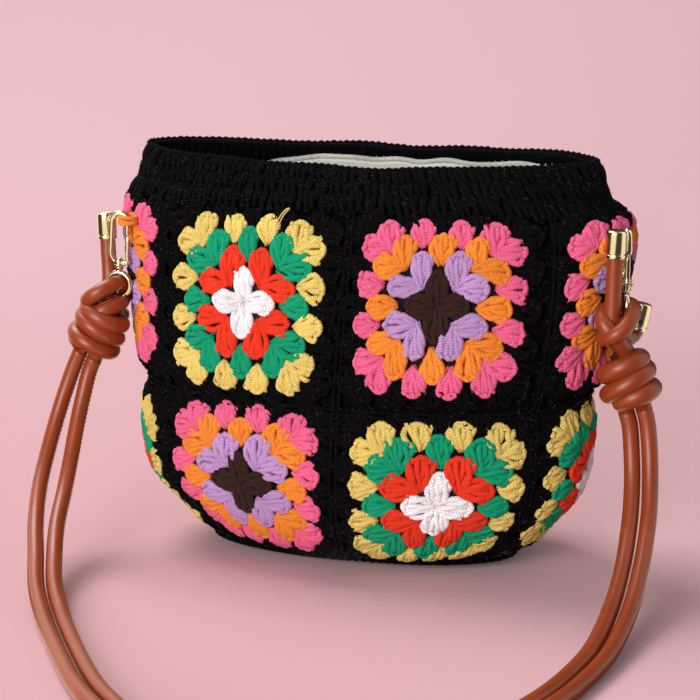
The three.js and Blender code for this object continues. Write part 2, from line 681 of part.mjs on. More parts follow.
function strapKnot(end) {
  const { hitch, knot, tails, clasp } = end;
  const body = join([
    place(wraps(knot), knot.at, knot.lean),
    place(wraps(hitch), hitch.at, hitch.lean),
    tube([knot.at, hitch.at], STEM_RADIUS, 1, 10),
  ]);
  const eyeRoom = fromSolid(swivelEye(FIT_GAP)).applyMatrix4(claspMatrix(clasp));
  let leather = body.subtract(toSolid(eyeRoom));
  tails.forEach((points) => {
    const room = rod(CAP_RADIUS + FIT_GAP, -CAP_LENGTH - FIT_GAP, 1, 16);
    const at = points[points.length - 1];
    leather = leather.subtract(toSolid(place(room, at, tailHeading(points).toArray())));
  });
  tails.forEach((points) => {
    const heading = tailHeading(points);
    const closedEnd = new THREE.Vector3(...points[points.length - 1]);
    const stop = closedEnd.clone().addScaledVector(heading, -(CAP_WALL + FIT_GAP));
    const mouth = closedEnd.clone().addScaledVector(heading, -CAP_LENGTH);
    const middle = mouth.clone().lerp(stop, 0.5);
    const route = [...points.slice(0, -1), mouth.toArray(), middle.toArray(), stop.toArray()];
    leather = leather.add(toSolid(tube(route, CORD_RADIUS, 3 + 2 * points.length)));
  });
  return leather.subtract(toSolid(eyeRoom));
}

// The place on the wall, at the valleys between the stitches, that lies nearest to a point.
function nearestWall(point) {
  let best = null;
  for (let column = 0; column < SQUARES_AROUND; column += 0.02) {
    for (let row = 1.5; row < SQUARE_ROWS; row += 0.02) {
      const spot = wallAt(column, row, CLUSTER_VALLEY);
      const distance = spot.distanceTo(point);
      if (!best || distance < best.distance) best = { spot, distance };
    }
  }
  return best.spot;
}

// A stitch of yarn that is drawn out of the wall and round one arm of the hook.
function yarnLoop({ clasp, loopOn }) {
  const arm = new THREE.Vector3(loopOn, 0, LOOP_HEIGHT).applyMatrix4(claspMatrix(clasp));
  const wall = nearestWall(arm);
  const inward = wall.clone().sub(arm).normalize();
  const far = arm.clone().addScaledVector(inward, -LOOP_RADIUS);
  const near = wall.clone().addScaledVector(inward, YARN_RADIUS);
  const stretch = far.distanceTo(near) / 2 / LOOP_RADIUS;
  const loop = new THREE.TorusGeometry(LOOP_RADIUS, YARN_RADIUS, 6, 14).scale(stretch, 1, 1);
  const turn = new THREE.Quaternion().setFromUnitVectors(new THREE.Vector3(1, 0, 0), inward);
  const centre = far.add(near).multiplyScalar(0.5);
  return loop.applyQuaternion(turn).translate(centre.x, centre.y, centre.z);
}

// Adds a shape to a painted solid. Each new face takes the colour of the nearest old one.
function joinPainted(painted, shape) {
  const joined = fromSolid(toSolid(painted).add(toSolid(shape))).toNonIndexed();
  const centres = (geometry) => {
    const position = geometry.attributes.position;
    return Array.from({ length: position.count / 3 }, (_, i) => {
      const corners = [0, 1, 2].map((k) => new THREE.Vector3().fromBufferAttribute(position, 3 * i + k));
      return corners[0].add(corners[1]).add(corners[2]).divideScalar(3);
    });
  };
  const old = centres(painted);
  const colour = painted.attributes.color;
  const colours = centres(joined).flatMap((centre) => {
    let nearest = 0;
    old.forEach((other, i) => {
      if (centre.distanceToSquared(other) < centre.distanceToSquared(old[nearest])) nearest = i;
    });
    const shade = [colour.getX(3 * nearest), colour.getY(3 * nearest), colour.getZ(3 * nearest)];
    return [...shade, ...shade, ...shade];
  });
  joined.setAttribute('color', new THREE.Float32BufferAttribute(colours, 3));
  return joined;
}

// Materials and assembly

const bag = new THREE.Group();

function addNode(parent, name, geometry, settings) {
  const mesh = new THREE.Mesh(geometry, new THREE.MeshStandardMaterial(settings));
  mesh.name = name;
  parent.add(mesh);
}

const yarn = { vertexColors: true, roughness: 0.95, metalness: 0 };
const leatherFinish = { color: TAN, roughness: 0.42, metalness: 0 };
const goldFinish = { color: GOLD, roughness: 0.2, metalness: 1 };

const ends = [LEFT_END, RIGHT_END].map(placedEnd);

addNode(bag, 'black_join_crochet', joinedCrochet(), yarn);
addNode(bag, 'rim_band', rimBand(), yarn);
addNode(bag, 'crochet_base', crochetBase(), yarn);
addNode(bag, 'lining', lining(), { color: LINING_WHITE, roughness: 0.9, metalness: 0 });

[LOWER_YARNS, UPPER_YARNS].forEach((rowYarns, row) => {
  rowYarns.forEach((yarns, column) => {
    const level = row === 0 ? 'lower' : 'upper';
    const name = `square_${level}_${COLUMN_NAMES[column]}`;
    const held = ends.find(({ side }) => row === 1 && side === COLUMN_NAMES[column]);
    const square = grannySquare(column, row, yarns);
    addNode(bag, name, held ? joinPainted(square, yarnLoop(held)) : square, yarn);
  });
});

ends.forEach((end) => {
  const { side, clasp, tails } = end;
  const group = new THREE.Group();
  group.applyMatrix4(claspMatrix(clasp));
  addNode(group, `${side}_hook`, fromSolid(hookBody()), goldFinish);
  addNode(group, `${side}_gate`, fromSolid(gate()), goldFinish);
  const pinReach = GATE_WIDTH / 2 + FIT_GAP + CHEEK_THICKNESS;
  addNode(group, `${side}_gate_pin`, fromSolid(toSolid(pinRod(PIN_RADIUS, pinReach))), goldFinish);
  addNode(group, `${side}_gate_spring`, springBox(0, false), { ...goldFinish, color: STEEL });
  addNode(group, `${side}_swivel_eye`, fromSolid(swivelEye()), goldFinish);
  bag.add(group);
  addNode(bag, `${side}_strap_knot`, fromSolid(strapKnot(end)), leatherFinish);
  tails.forEach((points, i) => {
    const cap = endCap(CAP_RADIUS, CAP_WALL);
    const name = `${side}_end_cap_${['long', 'short'][i]}`;
    addNode(bag, name, place(cap, points[points.length - 1], tailHeading(points).toArray()), goldFinish);
  });
});

addNode(bag, 'strap_cord_outer', tube(OUTER_ROUTE, CORD_RADIUS, CORD_STEPS), leatherFinish);
addNode(bag, 'strap_cord_inner', tube(INNER_ROUTE, CORD_RADIUS, CORD_STEPS), leatherFinish);

export default bag;
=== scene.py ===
# Looks of a crocheted shoulder bag: granny squares joined in black, a white lining, and a strap of
# two leather cords that are knotted to two gold snap clasps. Lengths are in millimetres until the
# meshes are made, and the frame is the CAD frame: +Z up, -Y towards the front.
import json
import math
import bpy
import numpy as np
from mathutils import Matrix, Vector

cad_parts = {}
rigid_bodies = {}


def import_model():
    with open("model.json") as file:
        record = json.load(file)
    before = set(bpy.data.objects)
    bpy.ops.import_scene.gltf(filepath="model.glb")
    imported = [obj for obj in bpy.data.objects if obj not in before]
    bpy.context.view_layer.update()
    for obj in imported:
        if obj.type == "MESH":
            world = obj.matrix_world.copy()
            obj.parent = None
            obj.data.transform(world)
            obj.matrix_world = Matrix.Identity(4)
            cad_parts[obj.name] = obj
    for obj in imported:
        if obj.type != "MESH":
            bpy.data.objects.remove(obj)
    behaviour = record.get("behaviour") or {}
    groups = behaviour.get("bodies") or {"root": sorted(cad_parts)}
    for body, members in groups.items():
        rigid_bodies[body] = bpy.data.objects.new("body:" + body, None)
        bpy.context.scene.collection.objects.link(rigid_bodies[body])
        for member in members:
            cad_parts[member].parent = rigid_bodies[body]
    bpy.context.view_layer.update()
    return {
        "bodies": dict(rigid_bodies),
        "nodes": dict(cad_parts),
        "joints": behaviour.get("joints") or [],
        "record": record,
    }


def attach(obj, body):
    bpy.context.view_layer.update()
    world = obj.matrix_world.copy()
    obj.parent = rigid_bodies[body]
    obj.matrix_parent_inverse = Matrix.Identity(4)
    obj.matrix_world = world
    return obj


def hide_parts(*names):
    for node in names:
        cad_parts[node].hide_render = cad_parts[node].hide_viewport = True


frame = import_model()

MM = 0.001
rng = np.random.default_rng(7)

# Colours as linear light

def paint(code):
    """An sRGB hex colour as linear red, green and blue."""
    parts = [int(code[i:i + 2], 16) / 255 for i in (1, 3, 5)]
    return tuple(c / 12.92 if c <= 0.04045 else ((c + 0.055) / 1.055) ** 2.4 for c in parts)


WHITE = paint("#f3f1f3")
RED = paint("#e63c23")
GREEN = paint("#149b6e")
YELLOW = paint("#e0c86e")
BROWN = paint("#35211b")
LILAC = paint("#bb93c4")
ORANGE = paint("#ef8c34")
PINK = paint("#ea688f")
BLACK = paint("#0b0a0b")
LINING_WHITE = paint("#f8f5ea")
LEATHER = paint("#8c3915")
# Leather darkened as painted shade, for the core and stem seen only in the gaps of the knot.
LEATHER_IN_SHADE = paint("#3d190b")
THREAD = paint("#b06a3c")
GOLD = paint("#dccba6")
STEEL = paint("#b9bcc0")
# Fibres painted lighter than the black yarn, as painted sheen where light catches them.
FUZZ_SHEEN_GREY = paint("#636067")
FLOOR = paint("#cfa2a7")
BACKDROP = paint("#fffbff")

# Camera, at the photograph's viewing angle

CAMERA_TARGET = Vector((-0.008, 0, 0.103))
CAMERA_DISTANCE = 1.1
CAMERA_AZIMUTH = math.radians(16)
CAMERA_ELEVATION = math.radians(13.5)
FOCAL_LENGTH_PX = 2140
PICTURE_PX = 700
PRINCIPAL_DROP_PX = 2


def make_camera():
    data = bpy.data.cameras.new("camera")
    camera = bpy.data.objects.new("camera", data)
    bpy.context.scene.collection.objects.link(camera)
    level = math.cos(CAMERA_ELEVATION)
    heading = Vector((
        math.sin(CAMERA_AZIMUTH) * level,
        -math.cos(CAMERA_AZIMUTH) * level,
        math.sin(CAMERA_ELEVATION),
    ))
    camera.location = CAMERA_TARGET + CAMERA_DISTANCE * heading
    camera.rotation_euler = heading.to_track_quat("Z", "Y").to_euler()
    data.sensor_width = 36
    data.lens = FOCAL_LENGTH_PX / PICTURE_PX * data.sensor_width
    data.shift_y = PRINCIPAL_DROP_PX / PICTURE_PX
    bpy.context.scene.camera = camera


make_camera()
bpy.context.scene.view_settings.view_transform = "Standard"

# Mesh making


class Weave:
    """Collects closed strands and other closed shapes, with a colour and a yarn coordinate."""

    def __init__(self):
        self.points = []
        self.faces = []
        self.colours = []
        self.places = []
        self.count = 0

    def add(self, points, faces, colours, places):
        """points (n, 3), faces a list of arrays (m, corners), and a place (m, corners, 2) for each."""
        self.points.append(points)
        self.colours.append(np.broadcast_to(colours, (len(points), 3)))
        self.faces.extend(array + self.count for array in faces)
        self.places.extend(places)
        self.count += len(points)

    def strands(self, paths, radii, colours, facing, sides=6, flat=1.0):
        """Round strands along paths (n, rings, 3). facing gives the outward way at each point."""
        paths = np.asarray(paths, float)
        n, rings = paths.shape[:2]
        radii = np.broadcast_to(radii, (n, rings))
        tangent = np.gradient(paths, axis=1)
        tangent /= np.linalg.norm(tangent, axis=2, keepdims=True) + 1e-12
        facing = np.broadcast_to(facing, paths.shape)
        across = np.cross(tangent, facing)
        across /= np.linalg.norm(across, axis=2, keepdims=True) + 1e-12
        out = np.cross(across, tangent)
        angle = np.arange(sides) / sides * 2 * math.pi
        ring = across[:, :, None] * np.cos(angle)[:, None] + flat * out[:, :, None] * np.sin(angle)[:, None]
        points = paths[:, :, None] + radii[:, :, None, None] * ring
        index = np.arange(n * rings * sides).reshape(n, rings, sides)
        turned = np.roll(index, -1, axis=2)
        quads = np.stack([index[:, :-1], turned[:, :-1], turned[:, 1:], index[:, 1:]], -1).reshape(-1, 4)
        caps = np.concatenate([index[:, 0, ::-1], index[:, -1]]).reshape(-1, sides)
        step = np.linalg.norm(np.diff(paths, axis=1), axis=2)
        along = np.concatenate([np.zeros((n, 1)), np.cumsum(step, axis=1)], axis=1)
        along = np.broadcast_to(along[:, :, None], (n, rings, sides))
        round_low = np.broadcast_to(np.arange(sides) / sides, (n, rings - 1, sides))
        round_high = round_low + 1 / sides
        low, high = along[:, :-1], along[:, 1:]
        places = np.stack([
            np.stack([low, round_low], -1), np.stack([low, round_high], -1),
            np.stack([high, round_high], -1), np.stack([high, round_low], -1),
        ], -2).reshape(-1, 4, 2)
        cap_places = np.zeros((len(caps), sides, 2))
        colours = np.broadcast_to(np.asarray(colours, float).reshape(-1, 1, 1, 3), (n, rings, sides, 3))
        self.add(points.reshape(-1, 3), [quads, caps], colours.reshape(-1, 3), [places, cap_places])

    def grid(self, points, colours, wrap_across=True, wrap_along=True):
        """A closed surface from a grid (along, across, 3): a torus, or a sphere with its ends capped."""
        rows, columns = points.shape[:2]
        index = np.arange(rows * columns).reshape(rows, columns)
        high = np.roll(index, -1, axis=0)
        right = np.roll(index, -1, axis=1)
        corner = np.roll(high, -1, axis=1)
        quads = np.stack([index, right, corner, high], -1)
        places = np.zeros(quads.shape + (2,))
        row, column = np.mgrid[0:rows, 0:columns]
        for k, (dr, dc) in enumerate([(0, 0), (0, 1), (1, 1), (1, 0)]):
            places[..., k, 0] = (row + dr) / rows
            places[..., k, 1] = (column + dc) / columns
        faces = []
        spots = []
        if not wrap_along:
            quads = quads[:-1]
            places = places[:-1]
            caps = np.stack([index[0, ::-1], index[-1]])
            faces.append(caps)
            spots.append(np.zeros(caps.shape + (2,)))
        if not wrap_across:
            quads = quads[:, :-1]
            places = places[:, :-1]
        faces.append(quads.reshape(-1, 4))
        spots.append(places.reshape(-1, 4, 2))
        self.add(points.reshape(-1, 3), faces, np.asarray(colours, float).reshape(-1, 3), spots)

    def build(self, name, material, body="root", replaces=(), sharp=None):
        mesh = bpy.data.meshes.new(name)
        points = np.concatenate(self.points) * MM
        loops = np.concatenate([array.ravel() for array in self.faces]).astype(np.int32)
        sizes = np.concatenate([np.full(len(array), array.shape[1]) for array in self.faces])
        starts = np.concatenate([[0], np.cumsum(sizes)[:-1]])
        mesh.vertices.add(len(points))
        mesh.vertices.foreach_set("co", points.ravel())
        mesh.loops.add(len(loops))
        mesh.loops.foreach_set("vertex_index", loops)
        mesh.polygons.add(len(sizes))
        mesh.polygons.foreach_set("loop_start", starts.astype(np.int32))
        mesh.polygons.foreach_set("loop_total", sizes.astype(np.int32))
        mesh.polygons.foreach_set("use_smooth", np.ones(len(sizes), bool))
        mesh.update(calc_edges=True)
        uv = mesh.uv_layers.new(name="place")
        uv.data.foreach_set("uv", np.concatenate([p.reshape(-1, 2) for p in self.places]).ravel())
        colour = mesh.color_attributes.new("colour", "FLOAT_COLOR", "POINT")
        shades = np.concatenate(self.colours)
        rgba = np.concatenate([shades, np.ones((len(shades), 1))], axis=1)
        colour.data.foreach_set("color", rgba.ravel())
        mesh.validate()
        mesh.materials.append(material)
        piece = bpy.data.objects.new(name, mesh)
        bpy.context.scene.collection.objects.link(piece)
        if sharp is not None:
            mesh.set_sharp_from_angle(angle=math.radians(sharp))
        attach(piece, body)
        if replaces:
            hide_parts(*replaces)
        return piece


def smooth_path(points, spacing):
    """A centripetal Catmull-Rom curve through points, sampled evenly about every spacing."""
    points = np.asarray(points, float)
    ends = [2 * points[0] - points[1], 2 * points[-1] - points[-2]]
    full = np.vstack([ends[0], points, ends[1]])
    samples = []
    for i in range(1, len(full) - 2):
        a, b, c, d = full[i - 1:i + 3]
        knots = np.cumsum([0] + [np.linalg.norm(q - p) ** 0.5 for p, q in ((a, b), (b, c), (c, d))])
        t = np.linspace(knots[1], knots[2], 24, endpoint=False)[:, None]
        ab = (knots[1] - t) / knots[1] * a + t / knots[1] * b
        bc = (knots[2] - t) / (knots[2] - knots[1]) * b + (t - knots[1]) / (knots[2] - knots[1]) * c
        cd = (knots[3] - t) / (knots[3] - knots[2]) * c + (t - knots[2]) / (knots[3] - knots[2]) * d
        abc = (knots[2] - t) / knots[2] * ab + t / knots[2] * bc
        bcd = (knots[3] - t) / (knots[3] - knots[1]) * bc + (t - knots[1]) / (knots[3] - knots[1]) * cd
        samples.append((knots[2] - t) / (knots[2] - knots[1]) * abc
                       + (t - knots[1]) / (knots[2] - knots[1]) * bcd)
    samples.append(points[-1:])
    dense = np.vstack(samples)
    run = np.concatenate([[0], np.cumsum(np.linalg.norm(np.diff(dense, axis=0), axis=1))])
    count = max(3, int(round(run[-1] / spacing)) + 1)
    even = np.linspace(0, run[-1], count)
    return np.stack([np.interp(even, run, dense[:, k]) for k in range(3)], axis=1)


def path_length(path):
    return float(np.linalg.norm(np.diff(path, axis=0), axis=1).sum())


def carried_frames(path, start):
    """Across and out vectors along a path, carried from start without twist."""
    tangent = np.gradient(path, axis=0)
    tangent /= np.linalg.norm(tangent, axis=1, keepdims=True)
    out = np.zeros_like(path)
    current = np.asarray(start, float)
    for i, t in enumerate(tangent):
        current = current - t * (current @ t)
        current = current / np.linalg.norm(current)
        out[i] = current
    return np.cross(tangent, out), out, tangent


# Materials


def new_material(name):
    material = bpy.data.materials.new(name)
    material.use_nodes = True
    nodes = material.node_tree.nodes
    return material, nodes, material.node_tree.links, nodes["Principled BSDF"]


def math_node(nodes, links, operation, a, b=None):
    node = nodes.new("ShaderNodeMath")
    node.operation = operation
    for socket, value in zip(node.inputs, (a, b)):
        if value is None:
            continue
        if isinstance(value, (int, float)):
            socket.default_value = value
        else:
            links.new(value, socket)
    return node.outputs[0]


def noise(nodes, links, scale, detail=3.0, roughness=0.55, vector=None):
    node = nodes.new("ShaderNodeTexNoise")
    node.inputs["Scale"].default_value = scale
    node.inputs["Detail"].default_value = detail
    node.inputs["Roughness"].default_value = roughness
    if vector is None:
        vector = nodes.new("ShaderNodeTexCoord").outputs["Object"]
    links.new(vector, node.inputs["Vector"])
    return node.outputs["Fac"]


def bump(nodes, links, height, distance, strength=1.0, below=None):
    node = nodes.new("ShaderNodeBump")
    node.inputs["Distance"].default_value = distance
    node.inputs["Strength"].default_value = strength
    links.new(height, node.inputs["Height"])
    if below is not None:
        links.new(below, node.inputs["Normal"])
    return node.outputs["Normal"]


def spread(nodes, links, value, low, high):
    node = nodes.new("ShaderNodeMapRange")
    links.new(value, node.inputs["Value"])
    node.inputs["To Min"].default_value = low
    node.inputs["To Max"].default_value = high
    return node.outputs["Result"]


def scaled_colour(nodes, links, colour, factor):
    node = nodes.new("ShaderNodeVectorMath")
    node.operation = "SCALE"
    links.new(colour, node.inputs[0])
    links.new(factor, node.inputs["Scale"])
    return node.outputs["Vector"]


PLY_COUNT = 3
PLY_TURNS_PER_MM = 0.26


def yarn_material(name, sheen, roughness=0.92, ply_depth=0.22, shine=0.08):
    """Plied cotton: the plies wind round each strand, and fine fibres break up its surface."""
    material, nodes, links, shader = new_material(name)
    attribute = nodes.new("ShaderNodeAttribute")
    attribute.attribute_name = "colour"
    place = nodes.new("ShaderNodeUVMap")
    place.uv_map = "place"
    split = nodes.new("ShaderNodeSeparateXYZ")
    links.new(place.outputs["UV"], split.inputs[0])
    along = math_node(nodes, links, "MULTIPLY", split.outputs[0], PLY_TURNS_PER_MM * PLY_COUNT)
    around = math_node(nodes, links, "MULTIPLY", split.outputs[1], PLY_COUNT)
    phase = math_node(nodes, links, "MULTIPLY", math_node(nodes, links, "ADD", along, around), 2 * math.pi)
    ply = math_node(nodes, links, "POWER", math_node(nodes, links, "ABSOLUTE", math_node(
        nodes, links, "SINE", math_node(nodes, links, "MULTIPLY", phase, 0.5))), 0.6)
    fibre = noise(nodes, links, 1500, 4, 0.7)
    patch = noise(nodes, links, 90, 2)
    # The colour darkens in the grooves between the plies, as painted shade; the fibre and patch noise vary the tone at
    # random.
    shade = math_node(nodes, links, "MULTIPLY", spread(nodes, links, ply, 0.7, 1.05),
                      spread(nodes, links, fibre, 0.86, 1.14))
    shade = math_node(nodes, links, "MULTIPLY", shade, spread(nodes, links, patch, 0.9, 1.1))
    links.new(scaled_colour(nodes, links, attribute.outputs["Color"], shade), shader.inputs["Base Color"])
    rough_fibres = bump(nodes, links, fibre, 0.00035, 0.8)
    normal = bump(nodes, links, ply, ply_depth * MM, 1.0, rough_fibres)
    links.new(normal, shader.inputs["Normal"])
    shader.inputs["Roughness"].default_value = roughness
    shader.inputs["Specular IOR Level"].default_value = shine
    shader.inputs["Sheen Weight"].default_value = sheen
    shader.inputs["Sheen Roughness"].default_value = 0.5
    return material


def leather_material():
    """Smooth tanned leather with fine pores, faint creases and a soft shine."""
    material, nodes, links, shader = new_material("tan_leather")
    attribute = nodes.new("ShaderNodeAttribute")
    attribute.attribute_name = "colour"
    patch = noise(nodes, links, 45, 4, 0.6)
    pores = nodes.new("ShaderNodeTexVoronoi")
    pores.inputs["Scale"].default_value = 1900
    links.new(nodes.new("ShaderNodeTexCoord").outputs["Object"], pores.inputs["Vector"])
    crease = noise(nodes, links, 420, 5, 0.62)
    shade = spread(nodes, links, patch, 0.78, 1.2)
    links.new(scaled_colour(nodes, links, attribute.outputs["Color"], shade), shader.inputs["Base Color"])
    links.new(spread(nodes, links, patch, 0.3, 0.42), shader.inputs["Roughness"])
    fine = bump(nodes, links, pores.outputs["Distance"], 0.00006, 0.5)
    links.new(bump(nodes, links, crease, 0.00012, 0.55, fine), shader.inputs["Normal"])
    shader.inputs["Specular IOR Level"].default_value = 0.4
    shader.inputs["Coat Weight"].default_value = 0.08
    shader.inputs["Coat Roughness"].default_value = 0.25
    return material


def metal_material(name, colour, roughness):
    """Polished metal with faint handling scratches."""
    material, nodes, links, shader = new_material(name)
    cloud = noise(nodes, links, 160, 5, 0.7)
    shade = spread(nodes, links, cloud, 0.92, 1.06)
    base = nodes.new("ShaderNodeRGB")
    base.outputs[0].default_value = (*colour, 1)
    links.new(scaled_colour(nodes, links, base.outputs[0], shade), shader.inputs["Base Color"])
    links.new(spread(nodes, links, cloud, roughness * 0.7, roughness * 1.5), shader.inputs["Roughness"])
    links.new(bump(nodes, links, noise(nodes, links, 900, 3), 0.00002, 0.4), shader.inputs["Normal"])
    shader.inputs["Metallic"].default_value = 1
    return material


def lining_material():
    """Off-white knit: columns of small stitches in the shape of a V."""
    material, nodes, links, shader = new_material("lining_knit")
    attribute = nodes.new("ShaderNodeAttribute")
    attribute.attribute_name = "colour"
    place = nodes.new("ShaderNodeUVMap")
    place.uv_map = "place"
    split = nodes.new("ShaderNodeSeparateXYZ")
    links.new(place.outputs["UV"], split.inputs[0])
    column = math_node(nodes, links, "MULTIPLY", split.outputs[1], LINING_COLUMNS)
    row = math_node(nodes, links, "MULTIPLY", split.outputs[0], LINING_STITCH_ROWS)
    lean = math_node(nodes, links, "ABSOLUTE", math_node(nodes, links, "SUBTRACT",
                     math_node(nodes, links, "FRACT", column), 0.5))
    legs = math_node(nodes, links, "ADD", row, lean)
    stitch = math_node(nodes, links, "SINE", math_node(nodes, links, "MULTIPLY", legs, 2 * math.pi))
    rib = math_node(nodes, links, "SINE", math_node(nodes, links, "MULTIPLY", lean, 2 * math.pi))
    height = math_node(nodes, links, "ADD", math_node(nodes, links, "MULTIPLY", stitch, 0.5), rib)
    fibre = noise(nodes, links, 1300, 4, 0.7)
    # The colour darkens in the low parts of the knit stitches, as painted shade; the fibre noise varies the tone at
    # random.
    shade = math_node(nodes, links, "MULTIPLY", spread(nodes, links, height, 0.9, 1.0),
                      spread(nodes, links, fibre, 0.94, 1.05))
    links.new(scaled_colour(nodes, links, attribute.outputs["Color"], shade), shader.inputs["Base Color"])
    links.new(bump(nodes, links, height, 0.0003, 0.7, bump(nodes, links, fibre, 0.0003, 0.6)),
              shader.inputs["Normal"])
    shader.inputs["Roughness"].default_value = 0.95
    shader.inputs["Sheen Weight"].default_value = 0.2
    shader.inputs["Specular IOR Level"].default_value = 0.2
    return material


LINING_COLUMNS = 220
LINING_STITCH_ROWS = 110
SQUARE_YARN = yarn_material("square_yarn", sheen=0.03)
BLACK_YARN = yarn_material("black_yarn", sheen=0.0, roughness=0.85, shine=0.035)
LEATHER_FINISH = leather_material()
GOLD_FINISH = metal_material("gold_metal", GOLD, 0.1)
STEEL_FINISH = metal_material("spring_steel", STEEL, 0.3)
LINING_FINISH = lining_material()

# Bag wall. Levels hold row, height, half width, half depth and lean; a row counts squares upward
# from the edge of the base, and a column counts them round from the front middle towards +X.

LEVELS = np.array([
    (0, 2, 80, 34, 0), (0.18, 11, 100, 47, 0), (0.5, 38, 117, 60, 0), (1, 87, 121, 61, 1.5),
    (1.5, 137, 130, 55, 4), (1.93, 179, 133, 43, 4.5), (2.32, 209, 117, 29, 1),
], float)
RIM_ROW = LEVELS[-1, 0]
WALL_SQUARENESS = 2.3
SQUARES_AROUND = 6
SQUARE_ROWS = 2
JOIN_WIDTH_UPRIGHT = 16
JOIN_WIDTH_LEVEL = 9
WALL_DEPTH = 5.5
BACKING_DEPTH = 4.1
ROW_SAMPLES = 150
COLUMN_SAMPLES = 720


def level_values(rows):
    """Height, half sizes and lean at each row, on smooth curves through the levels."""
    at, values = LEVELS[:, 0], LEVELS[:, 1:]
    last = len(at) - 1
    before = np.maximum(np.arange(last + 1) - 1, 0)
    after = np.minimum(np.arange(last + 1) + 1, last)
    slopes = (values[after] - values[before]) / (at[after] - at[before])[:, None]
    i = np.clip(np.searchsorted(at, rows, side="right") - 1, 0, last - 1)
    span = (at[i + 1] - at[i])[:, None]
    t = (rows - at[i])[:, None] / span
    return ((2 * t ** 3 - 3 * t ** 2 + 1) * values[i] + (t ** 3 - 2 * t ** 2 + t) * span * slopes[i]
            + (3 * t ** 2 - 2 * t ** 3) * values[i + 1] + (t ** 3 - t ** 2) * span * slopes[i + 1])


def wall_tables():
    rows = np.linspace(0, RIM_ROW, ROW_SAMPLES)
    angle = np.linspace(-math.pi / 2, 1.5 * math.pi, 4 * COLUMN_SAMPLES + 1)
    power = 2 / WALL_SQUARENESS
    unit_x = np.sign(np.cos(angle)) * np.abs(np.cos(angle)) ** power
    unit_y = np.sign(np.sin(angle)) * np.abs(np.sin(angle)) ** power
    places = np.zeros((ROW_SAMPLES, COLUMN_SAMPLES, 3))
    girths = np.zeros(ROW_SAMPLES)
    for i, (height, half_width, half_depth, lean) in enumerate(level_values(rows)):
        x = lean + half_width * unit_x
        y = half_depth * unit_y
        run = np.concatenate([[0], np.cumsum(np.hypot(np.diff(x), np.diff(y)))])
        even = np.arange(COLUMN_SAMPLES) / COLUMN_SAMPLES * run[-1]
        places[i, :, 0] = np.interp(even, run, x)
        places[i, :, 1] = np.interp(even, run, y)
        places[i, :, 2] = height
        girths[i] = run[-1]
    along = np.roll(places, -3, axis=1) - np.roll(places, 3, axis=1)
    up = np.gradient(places, axis=0)
    normals = np.cross(along, up)
    normals /= np.linalg.norm(normals, axis=2, keepdims=True)
    return rows, places, normals, girths


WALL_ROWS, WALL_PLACES, WALL_NORMALS, WALL_GIRTHS = wall_tables()


def wall_look_up(table, column, row):
    column, row = np.broadcast_arrays(np.asarray(column, float), np.asarray(row, float))
    x = (column % SQUARES_AROUND) / SQUARES_AROUND * COLUMN_SAMPLES
    y = row / RIM_ROW * (ROW_SAMPLES - 1)
    i = np.floor(x).astype(int)
    j = np.clip(np.floor(y).astype(int), 0, ROW_SAMPLES - 2)
    f, g = (x - i)[..., None], (y - j)[..., None]
    i, k = i % COLUMN_SAMPLES, (i + 1) % COLUMN_SAMPLES
    low = table[j, i] * (1 - f) + table[j, k] * f
    high = table[j + 1, i] * (1 - f) + table[j + 1, k] * f
    return low * (1 - g) + high * g


FRONT_SAG = 5.0
BACK_SAG = 0.8
SAG_FROM_ROW = 1.85
RIGHT_SHOULDER_TUCK = 6.5
LEFT_SHOULDER_TUCK = 3.0
RIGHT_HEEL_TUCK = 6.5
LEFT_HEEL_TUCK = 8.5


def slump(column, row):
    """How far the soft wall stands in or out of its even shape, in millimetres."""
    turn = np.asarray(column, float) / SQUARES_AROUND * 2 * math.pi
    row = np.asarray(row, float)
    wave = np.sin(3 * turn + 1.1 + 1.4 * row) + 0.6 * np.sin(7 * turn + 2.6 * row + 0.4)
    side = np.sin(turn)
    waist = (1.2 + 3.2 * side ** 2) * np.exp(-((row - 1) / 0.075) ** 2)
    shoulder = np.where(side > 0, RIGHT_SHOULDER_TUCK, LEFT_SHOULDER_TUCK) * side ** 4
    shoulder = shoulder * np.exp(-((row - 2.1) / 0.12) ** 2)
    heel = np.where(side > 0, RIGHT_HEEL_TUCK, LEFT_HEEL_TUCK) * side ** 2
    heel = heel * np.exp(-((row - 0.25) / 0.24) ** 2)
    return 0.45 * wave + 0.3 * np.sin(11 * turn - 5 * row) + waist + shoulder + heel


def wall_normal(column, row):
    normal = wall_look_up(WALL_NORMALS, column, row)
    return normal / np.linalg.norm(normal, axis=-1, keepdims=True)


def rim_sag(column, row):
    """How far the edge hangs down between the corners of the mouth, more in front than behind."""
    turn = np.asarray(column, float) / SQUARES_AROUND * 2 * math.pi
    middle = np.where(np.cos(turn) > 0, FRONT_SAG, BACK_SAG) * np.abs(np.cos(turn)) ** 1.2
    ripple = 0.35 * np.sin(5 * turn + 0.8) + 0.3 * np.sin(9 * turn)
    rise = np.clip((np.asarray(row, float) - SAG_FROM_ROW) / (RIM_ROW - SAG_FROM_ROW), 0, 1) ** 1.5
    return (middle + ripple) * rise


def wall_at(column, row, depth):
    """A point of the wall, depth in from the tops of the stitches."""
    inward = np.asarray(depth, float) + slump(column, row)
    place = wall_look_up(WALL_PLACES, column, row) - wall_normal(column, row) * inward[..., None]
    place[..., 2] -= rim_sag(column, row)
    return place


def girth_at(row):
    return np.interp(row, WALL_ROWS, WALL_GIRTHS)


def row_length(row):
    steps = np.linspace(row, row + 1, 41)
    return path_length(wall_look_up(WALL_PLACES, np.zeros(41), steps))


HALF_ROWS = [0.5 - JOIN_WIDTH_LEVEL / 2 / row_length(row) for row in range(SQUARE_ROWS)]


